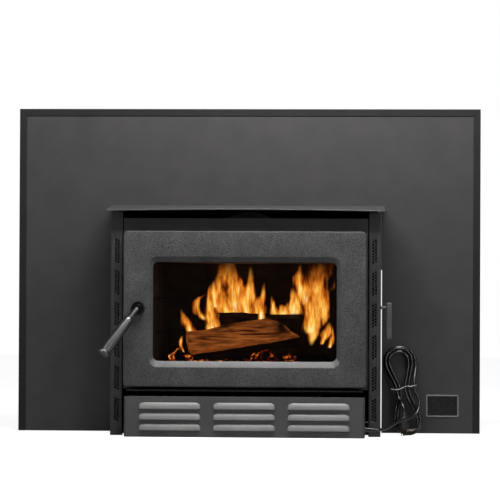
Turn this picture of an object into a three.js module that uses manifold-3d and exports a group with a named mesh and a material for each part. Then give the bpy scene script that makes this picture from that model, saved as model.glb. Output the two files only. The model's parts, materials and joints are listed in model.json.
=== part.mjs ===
// Wood-burning fireplace insert with its faceplate, blower box and tied mains cord.
// Millimetres, +Z up, front towards -Y. The origin is on the hearth, on the centre line,
// in the plane of the faceplate's back.
import * as THREE from 'three';
import { mergeVertices } from 'three/addons/utils/BufferGeometryUtils.js';
import Module from 'manifold-3d';

const wasm = await Module();
wasm.setup();

// ---------- driving dimensions ----------
const GAP = 0.3;                 // clearance between pieces that touch

const SURROUND_W = 1118;         // faceplate over its trim
const SURROUND_H = 782;
const SURROUND_T = 2;
const SURROUND_LIFT = 2.5;       // faceplate's lower edge above the hearth
const SURROUND_FOLD = 18;        // depth of its folded edges
const TRIM_FACE = 17;
const TRIM_T = 2;
const TRIM_DEPTH = 24;
const BRACKET_L = 150;           // brackets from faceplate to jacket
const BRACKET_T = 2.5;
const BRACKET_LAP = 26;          // onto the faceplate, past the cut-out
const BADGE_W = 78;
const BADGE_H = 53;
const BADGE_RIM = 3;
const BADGE_FROM_SIDE = 90;      // badge's centre from the faceplate's right edge
const BADGE_FROM_FOOT = 66.5;

const COLUMN_W = 29;
const COLUMN_D = 150;            // column front, ahead of the faceplate's back
const COLUMN_T = 2;
const COLUMN_LIFT = 2;
const CUTOUT_CLEAR = 2.5;        // cut-out edge beyond the column
const HOLE_R = 2.7;
const HOLE_PITCH = 7;
const HOLE_ROW_GAP = 6;
const HOLES_PER_ROW = 8;
const HOLE_GROUPS = 6;
const HOLE_LOWEST = 37;
const HOLE_HEAD = 44.2;          // from the top group's pitch to the column's top

const SHELF_OVERHANG = 9;        // past the column, each side
const SHELF_AHEAD = 35;          // shelf and ledge in front of the column face
const SHELF_ABOVE = 33;          // shelf's flat rear part above the front plate
const SHELF_BEND_D = 50;
const SHELF_DROP = 11;           // front edge below the flat part, mid span
const SHELF_ARCH = 3.5;          // further drop at the two ends
const SHELF_T = 3;

const JACKET_INSET = 8;          // jacket's inside face in from the column's outer face
const JACKET_T = 1.6;
const BODY_BACK = 440;           // rear face of the jacket behind the faceplate
const BASE_T = 3;
const BASE_BEHIND = 22;          // base plate's front edge behind the blower box's face

const FRONT_T = 6;               // firebox front plate
const FRONT_ABOVE = 26;          // its top above the firebox roof
const FRONT_CLEAR = 2;           // its edge to the column
const LEDGE_ABOVE = 12;          // ledge's underside above the blower box
const LEDGE_T = 4;
const LEDGE_INSET = 13;          // ledge's end in from the column

const JACKET_AIR = 50;           // air space beside the firebox shell
const JACKET_AIR_BACK = 45;
const BOX_T = 6;
const BOX_ABOVE_LEDGE = 6;
const BOX_ABOVE_DOOR = 5;
const BRICK_T = 30;
const BRICK_HEAD = 74;           // from the bricks' top to the firebox roof
const TUBE_R = 11;
const TUBE_T = 2;
const BOARD_T = 20;              // baffle board
const LEG_INSET = 56;            // leg's outer face in from the shell's side

const FLUE_BORE = 152;           // six-inch flue
const FLUE_T = 3;
const FLUE_FROM_BACK = 185;      // flue's centre ahead of the firebox back
const FLUE_RISE = 42;            // collar above the jacket
const FLUE_CLEAR = 1.5;          // collar to the jacket's hole
const FLANGE_W = 22;
const FLANGE_T = 4;
const DEFLECTOR_HALF = 53;
const DEFLECTOR_RISE = 13;       // height of its arch
const DEFLECTOR_AHEAD = 116;     // in front of the flue's bore
const DEFLECTOR_T = 3;

const DOOR_W = 572;
const DOOR_H = 366.3;
const DOOR_CLEAR = 5;            // door's edge to the column
const DOOR_LIFT = 6.7;           // door's foot above the ledge
const DOOR_AHEAD = 40;           // door's face in front of the column face
const DOOR_DEPTH = 35;
const DOOR_WALL = 12;
const DOOR_RIM = 8;
const DOOR_R = 11;
const STILE_W = 69.5;            // from the door's side to the window
const RAIL_FOOT = 60.1;
const RAIL_TOP = 72.3;
const WINDOW_R = 14;
const BEVEL_D = 9;
const BEVEL_SIDE = 9;
const BEVEL_TOP = 12;
const BEVEL_FOOT = 14.5;
const GLASS_T = 5;
const GLASS_LAP = 9;
const SEAL_W = 12;               // rope seal and the ridge that holds it
const SEAL_D = 12;

const HINGE_INSET = 11;          // hinge axis in from the door's side
const HINGE_BEHIND = 22;         // hinge axis behind the door's face
const HINGE_FROM_END = 52;       // lug from the door's top or foot
const HINGE_R = 6.5;
const PIN_R = 4;
const PIN_CLEAR = 0.35;
const LUG_H = 12;
const LUG_CLEAR = 2;             // lug to the door's ears
const EAR_H = 12;

const LATCH_ABOVE_MID = 1.15;
const LATCH_FROM_RIDGE = 11.5;
const SHAFT_R = 6;
const SHAFT_CLEAR = 0.5;
const CAM_T = 6;
const CAM_REST = 20;             // degrees the cam's arm stands above level at rest
const CATCH_T = 3;
const CATCH_LIP = 13.6;
const HANDLE_ANGLE = 35;         // degrees off straight down, towards the left
const HANDLE_FORWARD = 0.42;     // how far the handle leans to the front, as a slope
const BOSS_R = 16;
const BOSS_H = 9;
const NECK_R = 6;
const NECK_L = 30;
const GRIP_R = 12;
const GRIP_L = 111;

const COVER_CLEAR = 7.8;         // blower box's side to the column
const COVER_AHEAD = 45;          // its face in front of the column face
const COVER_Z0 = 1;
const COVER_Z1 = 96;
const COVER_T = 2;
const COVER_LIP = 16;
const COVER_SIDE_CLEAR = 1.2;    // base plate to the box's sides
const LOUVRE_MARGIN = 35.2;
const LOUVRE_GAP = 29;
const LOUVRE_H = 16;
const LOUVRE_HEAD = 13;          // cover's top to the top louvre
const LOUVRE_FOOT = 17;
const LOUVRE_OUT = 7;

const WHEEL_W = 90;
const WHEEL_BLADES = 16;
const FAN_BEHIND = 90;           // fan's axis behind the blower box's face
const FAN_FOOT = 5.5;            // scroll's underside above the base plate
const SCROLL_T = 1.5;
const SCROLL_CLEAR = 7;          // wheel to scroll
const SCROLL_END = 5;            // wheel's end to the scroll's end
const MOTOR_R = 34;
const MOTOR_W = 80;
const MOTOR_TO_SCROLL = 35;
const FAN_SHAFT_R = 4;

const LEVER_ABOVE_LATCH = 3;
const LEVER_BEHIND = 75;         // lever's rod behind the column face
const LEVER_ROD_R = 4;
const LEVER_OUT = 13;            // grip's inner face beyond the column
const LEVER_W = 13;
const LEVER_H = 88;
const CRANK_L = 40;
const CRANK_PIN_R = 3;
const DAMPER_T = 3;

const CORD_D = 7;
const CORD_BEHIND = 19;          // relief behind the blower box's face
const CORD_Z = 20;
const RELIEF_L = 22;
const HANK_LOOPS = 4;
const HANK_STEPS = 24;           // per loop
const HANK_SIDES = 6;
const LEAD_SIDES = 8;

// ---------- colours ----------
const finish = (color, roughness, metalness) =>
  new THREE.MeshStandardMaterial({ color, roughness, metalness });
const COLOURS = {
  paint: () => finish('#3a3a3b', 0.6, 0.2),
  panel: () => finish('#333435', 0.5, 0.2),
  trim: () => finish('#1d1d1e', 0.5, 0.2),
  cast: () => finish('#434343', 0.75, 0.3),
  steel: () => finish('#8b8c8e', 0.4, 0.8),
  chrome: () => finish('#1b1b1c', 0.25, 0.6),
  brick: () => finish('#8d8271', 0.95, 0),
  rope: () => finish('#5d5a55', 0.95, 0),
  glass: () => finish('#20242a', 0.05, 0),
  wood: () => finish('#7a3d1d', 0.85, 0),
  rubber: () => finish('#141414', 0.5, 0),
  silver: () => finish('#9a9b9c', 0.35, 0.8),
  brass: () => finish('#b08d4f', 0.35, 0.9),
  tie: () => finish('#e6e6e2', 0.6, 0),
};

// ---------- small geometry helpers ----------
const insert = new THREE.Group();

function add(name, geometry, colour) {
  const mesh = new THREE.Mesh(geometry, COLOURS[colour]());
  mesh.name = name;
  insert.add(mesh);
  return mesh;
}

function solid(geometry) {
  const g = geometry.clone();
  g.deleteAttribute('normal');
  g.deleteAttribute('uv');
  const merged = mergeVertices(g, 1e-4);
  return new wasm.Manifold(new wasm.Mesh({
    numProp: 3,
    vertProperties: new Float32Array(merged.attributes.position.array),
    triVerts: new Uint32Array(merged.index.array),
  }));
}

function toGeometry(manifold) {
  const m = manifold.getMesh();
  const g = new THREE.BufferGeometry();
  g.setAttribute('position', new THREE.BufferAttribute(new Float32Array(m.vertProperties), 3));
  g.setIndex(new THREE.BufferAttribute(new Uint32Array(m.triVerts), 1));
  g.computeVertexNormals();
  return g;
}

const join = (...geometries) =>
  toGeometry(geometries.map(solid).reduce((whole, next) => whole.add(next)));
const cut = (geometry, ...tools) =>
  toGeometry(tools.map(solid).reduce((whole, next) => whole.subtract(next), solid(geometry)));

// A block between two planes in each direction.
function block(x0, x1, y0, y1, z0, z1) {
  const g = new THREE.BoxGeometry(x1 - x0, y1 - y0, z1 - z0);
  return g.translate((x0 + x1) / 2, (y0 + y1) / 2, (z0 + z1) / 2);
}

// A round bar from one point to another.
function rod(from, to, radius, sides = 16) {
  const a = new THREE.Vector3(...from);
  const b = new THREE.Vector3(...to);
  const g = new THREE.CylinderGeometry(radius, radius, a.distanceTo(b), sides);
  const turn = new THREE.Quaternion().setFromUnitVectors(
    new THREE.Vector3(0, 1, 0), b.clone().sub(a).normalize());
  return g.applyQuaternion(turn).translate(...a.add(b).multiplyScalar(0.5).toArray());
}

// A rounded rectangle in X and Z, as a closed outline.
function roundedOutline(x0, x1, z0, z1, r) {
  const s = new THREE.Shape();
  s.moveTo(x0 + r, z0).lineTo(x1 - r, z0).absarc(x1 - r, z0 + r, r, -Math.PI / 2, 0);
  s.lineTo(x1, z1 - r).absarc(x1 - r, z1 - r, r, 0, Math.PI / 2);
  s.lineTo(x0 + r, z1).absarc(x0 + r, z1 - r, r, Math.PI / 2, Math.PI);
  s.lineTo(x0, z0 + r).absarc(x0 + r, z0 + r, r, Math.PI, 1.5 * Math.PI);
  return s;
}

// Extrudes an X-Z outline backwards from y0 to y1.
function slab(shape, y0, y1, curveSegments = 4) {
  const g = new THREE.ExtrudeGeometry(shape, { depth: y1 - y0, bevelEnabled: false, curveSegments });
  return g.rotateX(Math.PI / 2).translate(0, y1, 0);
}

// Extrudes a Y-Z outline along X from x0 to x1.
function bar(points, x0, x1) {
  const shape = new THREE.Shape(points.map(([y, z]) => new THREE.Vector2(y, z)));
  const g = new THREE.ExtrudeGeometry(shape, { depth: x1 - x0, bevelEnabled: false, steps: 1 });
  const toWorld = new THREE.Matrix4().makeBasis(
    new THREE.Vector3(0, 1, 0), new THREE.Vector3(0, 0, 1), new THREE.Vector3(1, 0, 0));
  return g.applyMatrix4(toWorld).translate(x0, 0, 0);
}

// A frame in X and Z: an outline with a hole, from y0 to y1.
function frameSlab(outer, inner, y0, y1, curveSegments = 4) {
  outer.holes.push(inner);
  return slab(outer, y0, y1, curveSegments);
}

// Turns a profile of [radius, height] pairs about Z; the profile closes on itself or the axis.
function turned(profile, sides = 32) {
  const g = new THREE.LatheGeometry(profile.map(([r, z]) => new THREE.Vector2(r, z)), sides);
  return outward(g.rotateX(Math.PI / 2));
}

const mirrorX = (geometry) => toGeometry(solid(geometry).mirror([1, 0, 0]));

// ---------- derived places shared by several pieces ----------
const panelHalf = SURROUND_W / 2;
const panelTop = SURROUND_LIFT + SURROUND_H;
const doorHalf = DOOR_W / 2;
const columnIn = doorHalf + DOOR_CLEAR;
const columnOut = columnIn + COLUMN_W;
const cutoutHalf = columnOut + CUTOUT_CLEAR;
const columnX = (columnIn + columnOut - COLUMN_T) / 2;  // middle line of the holes
const frontHalf = columnIn - FRONT_CLEAR;
const frontY0 = -COLUMN_D;                     // face of the firebox front plate
const frontY1 = frontY0 + FRONT_T;
const shelfY = frontY0 - SHELF_AHEAD;          // front of the shelf and the ledge
const ledgeZ = COVER_Z1 + LEDGE_ABOVE;
const ledgeTop = ledgeZ + LEDGE_T;
const frontFoot = ledgeTop + GAP;
const doorZ0 = ledgeTop + DOOR_LIFT;
const doorZ1 = doorZ0 + DOOR_H;
const boxZ0 = ledgeTop + BOX_ABOVE_LEDGE;
const boxZ1 = doorZ1 + BOX_ABOVE_DOOR;
const frontTop = boxZ1 + FRONT_ABOVE;
const shelfZ = frontTop + SHELF_ABOVE;
const shelfUnder = shelfZ - SHELF_T;
const columnTop = shelfUnder - SHELF_DROP - SHELF_ARCH - GAP;
const jacketHalf = columnOut - JACKET_INSET;
const jacketOut = jacketHalf + JACKET_T;
const jacketTop = shelfUnder - GAP;
const jacketFront = -SHELF_BEND_D + 2;
const boxHalf = jacketHalf - JACKET_AIR;       // firebox shell, outside
const boxBack = BODY_BACK - JACKET_AIR_BACK;
const boxIn = boxHalf - BOX_T;
const boxFloor = boxZ0 + BOX_T;
const boxRoof = boxZ1 - BOX_T;
const boxBackIn = boxBack - BOX_T;
const brickTop = boxFloor + BRICK_T;           // of the floor bricks
const chamberHalf = boxIn - GAP - BRICK_T;
const flueY = boxBack - FLUE_FROM_BACK;
const doorY0 = frontY0 - DOOR_AHEAD;           // door face
const doorWallY = doorY0 + DOOR_WALL;
const doorY1 = doorY0 + DOOR_DEPTH;            // rear edge of the door's rim
const windowHalf = doorHalf - STILE_W;
const windowZ0 = doorZ0 + RAIL_FOOT;
const windowZ1 = doorZ1 - RAIL_TOP;
const glassHalf = windowHalf + GLASS_LAP;
const glassZ0 = windowZ0 - GLASS_LAP;
const glassZ1 = windowZ1 + GLASS_LAP;
const glassY0 = doorWallY + GAP;
const glassY1 = glassY0 + GLASS_T;
const ridgeIn = glassHalf + 2;
const ridgeOut = ridgeIn + SEAL_W;
const ridgeZ0 = glassZ0 - 2 - SEAL_W;
const ridgeZ1 = glassZ1 + 2 + SEAL_W;
const sealY0 = frontY0 - GAP - SEAL_D;
const ridgeY1 = sealY0 - GAP;
const mouthHalf = ridgeIn - 1;                 // opening in the firebox front plate
const mouthZ0 = glassZ0 - 1;
const mouthZ1 = glassZ1 + 1;
const hingeX = doorHalf - HINGE_INSET;
const hingeY = doorY0 + HINGE_BEHIND;
const latchX = -(ridgeOut + LATCH_FROM_RIDGE);
const latchZ = (doorZ0 + doorZ1) / 2 + LATCH_ABOVE_MID;
const pinReach = LUG_CLEAR + EAR_H - 1.3;      // pin's end past its lug
const leverY = frontY0 + LEVER_BEHIND;
const leverZ = latchZ + LEVER_ABOVE_LATCH;
const coverHalf = columnIn - COVER_CLEAR;
const coverY = frontY0 - COVER_AHEAD;          // face of the blower box
const fanY = coverY + FAN_BEHIND;
const scrollOut = (COVER_Z1 + SCROLL_T - BASE_T - FAN_FOOT) / 2;  // scroll's outer radius
const scrollR = scrollOut - SCROLL_T;
const wheelR = scrollR - SCROLL_CLEAR;
const fanZ = BASE_T + FAN_FOOT + scrollOut;
const fanX = MOTOR_W / 2 + MOTOR_TO_SCROLL + SCROLL_END + WHEEL_W / 2;
const cordY = coverY + CORD_BEHIND;
const reliefX = coverHalf + GAP;               // where the relief meets the box's side

// ---------- base, jacket and firebox ----------
function body() {
  const baseFront = coverHalf - COVER_T - COVER_SIDE_CLEAR;
  add('base_plate', join(block(-jacketOut, jacketOut, jacketFront, BODY_BACK, 0, BASE_T),
    block(-baseFront, baseFront, coverY + BASE_BEHIND, jacketFront + 1, 0, BASE_T)), 'paint');

  const shell = block(-jacketOut, jacketOut, jacketFront, BODY_BACK, BASE_T + GAP, jacketTop);
  const inside = block(-jacketHalf, jacketHalf, jacketFront - 1, BODY_BACK - JACKET_T,
    BASE_T - 1, jacketTop - JACKET_T);
  const flueHole = rod([0, flueY, jacketTop - 20], [0, flueY, jacketTop + 20],
    FLUE_BORE / 2 + FLUE_T + FLUE_CLEAR, 32);
  add('outer_jacket', cut(shell, inside, flueHole), 'paint');

  const firebox = block(-boxHalf, boxHalf, frontY1 + GAP, boxBack, boxZ0, boxZ1);
  const hearth = block(-boxIn, boxIn, frontY1 - 10, boxBackIn, boxFloor, boxRoof);
  const flueMouth = rod([0, flueY, boxZ1 - 20], [0, flueY, boxZ1 + 20], FLUE_BORE / 2, 32);
  const legs = [-1, 1].map((sign) => {
    const [a, b] = [sign * (boxHalf - LEG_INSET - BOX_T), sign * (boxHalf - LEG_INSET)];
    return block(Math.min(a, b), Math.max(a, b), 0, boxBack - 15, BASE_T + GAP, boxZ0 + 1);
  });
  add('firebox_shell', cut(join(firebox, ...legs), hearth, flueMouth, airPort()), 'cast');

  const plate = roundedOutline(-frontHalf, frontHalf, frontFoot, frontTop, 1);
  const mouth = roundedOutline(-mouthHalf, mouthHalf, mouthZ0, mouthZ1, WINDOW_R);
  add('firebox_front', frameSlab(plate, mouth, frontY0, frontY1), 'paint');

  add('ash_ledge', bar([
    [shelfY, ledgeZ], [frontY1, ledgeZ], [frontY1, ledgeTop], [shelfY, ledgeTop],
  ], -columnIn + LEDGE_INSET, columnIn - LEDGE_INSET), 'trim');

  const collarFoot = boxZ1 + GAP;
  const collarTop = jacketTop + FLUE_RISE;
  const bore = FLUE_BORE / 2;
  add('flue_collar', turned([
    [bore, collarFoot], [bore + FLANGE_W, collarFoot], [bore + FLANGE_W, collarFoot + FLANGE_T],
    [bore + FLUE_T, collarFoot + FLANGE_T], [bore + FLUE_T, collarTop], [bore, collarTop],
    [bore, collarFoot],
  ]).translate(0, flueY, 0), 'cast');

  // Deflector: an upright plate with an arched top, seen through the warm air slot.
  const [chord, rise] = [DEFLECTOR_HALF, DEFLECTOR_RISE];
  const arcR = (chord * chord + rise * rise) / (2 * rise);
  const half = Math.asin(chord / arcR);
  const spring = frontTop + 6;
  const arch = new THREE.Shape();
  arch.moveTo(-chord, boxZ1 + GAP).lineTo(chord, boxZ1 + GAP).lineTo(chord, spring);
  arch.absarc(0, spring + rise - arcR, arcR, Math.PI / 2 - half, Math.PI / 2 + half);
  const y = flueY - bore - DEFLECTOR_AHEAD;
  add('flue_deflector', slab(arch, y, y + DEFLECTOR_T, 12), 'paint');
}

// The air inlet in the firebox's right wall, ahead of the fire bricks.
function airPort() {
  const [z0, y0] = [leverZ + CRANK_L - 6, leverY - 43];
  return block(boxHalf - BOX_T - 5, boxHalf + 5, y0, y0 + 26, z0, z0 + 20);
}

// ---------- lining, baffle and secondary air ----------
function lining() {
  const y0 = frontY1 + 60;                     // front of the side bricks
  const y1 = boxBackIn - GAP;
  const side = boxIn - GAP;
  const top = boxRoof - BRICK_HEAD;
  add('brick_floor', block(-side, side, frontY1 + 12, y1, boxFloor + GAP, brickTop), 'brick');
  add('brick_back', block(-side, side, y1 - BRICK_T, y1, brickTop + GAP, top), 'brick');
  for (const [name, sign] of [['brick_left', -1], ['brick_right', 1]]) {
    const a = sign * side;
    const b = sign * chamberHalf;
    add(name, block(Math.min(a, b), Math.max(a, b), y0, y1 - BRICK_T - GAP, brickTop + GAP, top),
      'brick');
  }
  // Air tubes rest on the side bricks on a filed flat; the board lies on the tubes.
  const flat = 1.2;
  const tubeZ = top + GAP + TUBE_R - flat;
  const [firstY, lastY] = [frontY1 + 94, boxBackIn - 119];
  for (const [name, share] of [['air_tube_front', 0], ['air_tube_middle', 0.5],
    ['air_tube_back', 1]]) {
    const y = firstY + share * (lastY - firstY);
    const outer = rod([-side, y, tubeZ], [side, y, tubeZ], TUBE_R, 16);
    const bore = rod([-side - 1, y, tubeZ], [side + 1, y, tubeZ], TUBE_R - TUBE_T, 16);
    const foot = block(-side - 1, side + 1, y - TUBE_R, y + TUBE_R, top - 10, top + GAP);
    add(name, cut(outer, bore, foot), 'steel');
  }
  const boardZ = tubeZ + TUBE_R + GAP;
  add('baffle_board', block(-side + 4, side - 4, firstY - 40, lastY + 30, boardZ, boardZ + BOARD_T),
    'brick');
}

// ---------- shelf, columns and faceplate ----------
function casing() {
  // The shelf: a flat strip, then a slope whose front edge is arched across the width.
  const spans = 12;
  const vertices = [];
  const faces = [];
  const rows = spans + 1;
  for (let i = 0; i < rows; i += 1) {
    const t = (2 * i) / spans - 1;
    const x = t * (columnOut + SHELF_OVERHANG);
    const lip = shelfZ - SHELF_DROP - SHELF_ARCH * t * t;
    const ring = [
      [-SURROUND_T - GAP, shelfZ], [-SHELF_BEND_D, shelfZ], [shelfY, lip],
      [shelfY, lip - SHELF_T], [-SHELF_BEND_D, shelfUnder], [-SURROUND_T - GAP, shelfUnder],
    ];
    ring.forEach(([y, z]) => vertices.push(x, y, z));
  }
  const around = 6;
  for (let i = 0; i < spans; i += 1) {
    for (let k = 0; k < around; k += 1) {
      const a = i * around + k;
      const b = i * around + ((k + 1) % around);
      faces.push(a, b, b + around, a, b + around, a + around);
    }
  }
  const cap = [[0, 1, 4], [0, 4, 5], [1, 2, 3], [1, 3, 4]];
  for (const [a, b, c] of cap) {
    faces.push(c, b, a);
    faces.push(a + spans * around, b + spans * around, c + spans * around);
  }
  const shelf = new THREE.BufferGeometry();
  shelf.setAttribute('position', new THREE.Float32BufferAttribute(vertices, 3));
  shelf.setIndex(faces);
  shelf.computeVertexNormals();
  add('top_shelf', outward(shelf), 'paint');

  // Columns: a perforated face and a side wall, open towards the middle and the back.
  const face = block(columnIn, columnOut, frontY0, frontY0 + COLUMN_T, COLUMN_LIFT, columnTop);
  const wall = block(columnOut - COLUMN_T, columnOut, frontY0, -SURROUND_T - 1,
    COLUMN_LIFT, columnTop);
  const inner = block(columnIn, columnIn + COLUMN_T, frontY0, frontY0 + 14, COLUMN_LIFT, columnTop);
  const rodHole = rod([columnOut - 10, leverY, leverZ], [columnOut + 10, leverY, leverZ],
    LEVER_ROD_R + PIN_CLEAR, 16);
  const plain = join(face, wall, inner);
  const right = cut(plain, ...perforation());
  add('column_left', mirrorX(right), 'paint');
  add('column_right', cut(right, rodHole), 'paint');

  // Faceplate: one sheet with a cut-out that is open at the foot, and its folded edges.
  const sheetHalf = panelHalf - TRIM_T - GAP;
  const sheetTop = panelTop - TRIM_T - GAP;
  const cutTop = jacketTop + 1;
  const pan = block(-sheetHalf, sheetHalf, -SURROUND_T, SURROUND_FOLD, SURROUND_LIFT, sheetTop);
  const within = block(-sheetHalf + SURROUND_T, sheetHalf - SURROUND_T, 0, SURROUND_FOLD + 5,
    SURROUND_LIFT - 5, sheetTop - SURROUND_T);
  const opening = block(-cutoutHalf, cutoutHalf, -SURROUND_T - 5, SURROUND_FOLD + 5, -5, cutTop);
  add('surround_panel', cut(pan, within, opening), 'panel');

  // Trim: an angle round the left, top and right edges, mitred at the corners.
  const faceY = -SURROUND_T - GAP;
  const angle = (x0, x1, legX0, legX1) => join(
    block(x0, x1, faceY - TRIM_T, faceY, SURROUND_LIFT, panelTop),
    block(legX0, legX1, faceY - TRIM_T, TRIM_DEPTH, SURROUND_LIFT, panelTop));
  const corner = (below, lift) => {            // everything on one side of the mitre line
    const far = TRIM_FACE * 4;
    const s = new THREE.Shape();
    s.moveTo(-panelHalf - 1, panelTop + 1 + lift).lineTo(-panelHalf + far, panelTop - far + lift);
    const z = below ? panelTop - far * 2 : panelTop + far;
    s.lineTo(-panelHalf + far, z).lineTo(-panelHalf - 1, z).closePath();
    return slab(s, faceY - TRIM_T - 5, TRIM_DEPTH + 5);
  };
  const left = cut(
    angle(-panelHalf, -panelHalf + TRIM_FACE, -panelHalf, -panelHalf + TRIM_T), corner(false, 0));
  add('trim_left', left, 'trim');
  add('trim_right', mirrorX(left), 'trim');
  const lintel = join(
    block(-panelHalf, panelHalf, faceY - TRIM_T, faceY, panelTop - TRIM_FACE, panelTop),
    block(-panelHalf, panelHalf, faceY - TRIM_T, TRIM_DEPTH, panelTop - TRIM_T, panelTop));
  const under = corner(true, GAP * 1.5);
  add('trim_top', cut(lintel, under, mirrorX(under)), 'trim');

  // Bare badge: a rim round a plate, on the lower right of the faceplate.
  const badgeX = panelHalf - BADGE_FROM_SIDE;
  const badgeZ = SURROUND_LIFT + BADGE_FROM_FOOT;
  const badge = (inset) => roundedOutline(badgeX - BADGE_W / 2 + inset, badgeX + BADGE_W / 2 - inset,
    badgeZ - BADGE_H / 2 + inset, badgeZ + BADGE_H / 2 - inset, 3 - inset / 2);
  add('badge_rim', frameSlab(badge(0), badge(BADGE_RIM), faceY - 2, faceY), 'silver');
  add('badge_plate', slab(badge(BADGE_RIM + GAP), faceY - 1.2, faceY), 'rubber');

  // Angle brackets that tie the faceplate to the jacket, behind the sheet.
  for (const [name, sign] of [['bracket_left', -1], ['bracket_right', 1]]) {
    const [z0, z1, near] = [jacketTop - BRACKET_L, jacketTop, jacketOut + GAP];
    const bracket = join(block(near, near + BRACKET_T, GAP, 45, z0, z1),
      block(near, cutoutHalf + BRACKET_LAP, GAP, GAP + BRACKET_T, z0, z1));
    add(name, sign < 0 ? mirrorX(bracket) : bracket, 'steel');
  }
}

// Tools for a column's holes: groups of two staggered rows of small round holes.
function perforation() {
  const groupPitch = (columnTop - HOLE_LOWEST - HOLE_HEAD) / HOLE_GROUPS;
  const tools = [];
  for (let g = 0; g < HOLE_GROUPS; g += 1) {
    for (let row = 0; row < 2; row += 1) {
      for (let i = 0; i < HOLES_PER_ROW; i += 1) {
        const z = HOLE_LOWEST + g * groupPitch + (i + row / 2) * HOLE_PITCH;
        const x = columnX + (row - 0.5) * HOLE_ROW_GAP;
        tools.push(rod([x, frontY0 - 3, z], [x, frontY0 + COLUMN_T + 3, z], HOLE_R, 6));
      }
    }
  }
  return tools;
}

// Turns a closed mesh the right way out if its faces point in.
function outward(geometry) {
  const p = geometry.attributes.position;
  const index = Array.from(geometry.index.array);
  const [a, b, c] = [new THREE.Vector3(), new THREE.Vector3(), new THREE.Vector3()];
  let volume = 0;
  for (let i = 0; i < index.length; i += 3) {
    a.fromBufferAttribute(p, index[i]);
    b.fromBufferAttribute(p, index[i + 1]);
    c.fromBufferAttribute(p, index[i + 2]);
    volume += a.dot(b.cross(c));
  }
  if (volume < 0) geometry.setIndex(index.reverse());
  geometry.computeVertexNormals();
  return geometry;
}

// ---------- door with its glass, seals and hinges ----------
function door() {
  const outline = (inset) => roundedOutline(-doorHalf + inset, doorHalf - inset,
    doorZ0 + inset, doorZ1 - inset, Math.max(DOOR_R - inset, 2));
  const window = roundedOutline(-windowHalf, windowHalf, windowZ0, windowZ1, WINDOW_R);
  const wall = frameSlab(outline(0), window, doorY0, doorWallY);
  const rim = frameSlab(outline(0), outline(DOOR_RIM), doorWallY - 1, doorY1);
  const ring = (half, z0, z1, r) => roundedOutline(-half, half, z0, z1, r);
  const ridge = frameSlab(ring(ridgeOut, ridgeZ0, ridgeZ1, WINDOW_R),
    ring(ridgeIn, ridgeZ0 + SEAL_W, ridgeZ1 - SEAL_W, WINDOW_R - 6), doorWallY - 1, ridgeY1);
  const shaftHole = alongLatch(doorY0 - 5, doorWallY + 5, SHAFT_R + SHAFT_CLEAR);
  const lugRoom = hingePlaces().map(({ z0, z1 }) => block(hingeX - 14, doorHalf + 5,
    doorWallY + 0.01, doorY1 + 5, z0 - LUG_CLEAR, z1 + LUG_CLEAR));
  const ears = hingePlaces()
    .flatMap(({ z0, z1 }) => [z0 - LUG_CLEAR - EAR_H, z1 + LUG_CLEAR])
    .map((z) => block(hingeX - 9, doorHalf - DOOR_RIM + 1, doorWallY - 1, doorY1 - 6, z, z + EAR_H));
  const pinHoles = hingePlaces().map(({ z0, z1 }) => rod([hingeX, hingeY, z0 - pinReach - GAP],
    [hingeX, hingeY, z1 + pinReach + GAP], PIN_R + GAP, 20));
  add('door_frame', cut(join(wall, rim, ridge, ...ears), shaftHole, bevel(), ...lugRoom,
    ...pinHoles), 'cast');

  const glass = roundedOutline(-glassHalf, glassHalf, glassZ0, glassZ1, 6);
  add('door_glass', slab(glass, glassY0, glassY1), 'glass');
  const held = (grow) => roundedOutline(-glassHalf - 1.2 + grow, glassHalf + 1.2 - grow,
    glassZ0 - 1.2 + grow, glassZ1 + 1.2 - grow, 6);
  add('glass_retainer', frameSlab(held(0), held(GLASS_LAP), glassY1 + GAP, glassY1 + GAP + 2), 'steel');
  const seal = (grow) => roundedOutline(-ridgeOut + 1 + grow, ridgeOut - 1 - grow,
    ridgeZ0 + 1 + grow, ridgeZ1 - 1 - grow, WINDOW_R - 2);
  add('door_seal', frameSlab(seal(0), seal(SEAL_W - 2), sealY0, frontY0 - GAP), 'rope');

  for (const { name, z0, z1 } of hingePlaces()) {
    const lug = join(
      block(hingeX - HINGE_R, hingeX + HINGE_R, hingeY, frontY0 - GAP, z0, z1),
      rod([hingeX, hingeY, z0], [hingeX, hingeY, z1], HINGE_R, 24));
    const hole = rod([hingeX, hingeY, z0 - 1], [hingeX, hingeY, z1 + 1], PIN_R + PIN_CLEAR, 20);
    add(`hinge_lug_${name}`, cut(lug, hole), 'steel');
    add(`hinge_pin_${name}`, rod([hingeX, hingeY, z0 - pinReach], [hingeX, hingeY, z1 + pinReach],
      PIN_R, 20), 'steel');
  }
}

// Heights of the two hinge lugs.
function hingePlaces() {
  const inset = HINGE_FROM_END;
  return [
    { name: 'bottom', z0: doorZ0 + inset, z1: doorZ0 + inset + LUG_H },
    { name: 'top', z0: doorZ1 - inset - LUG_H, z1: doorZ1 - inset },
  ];
}

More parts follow.
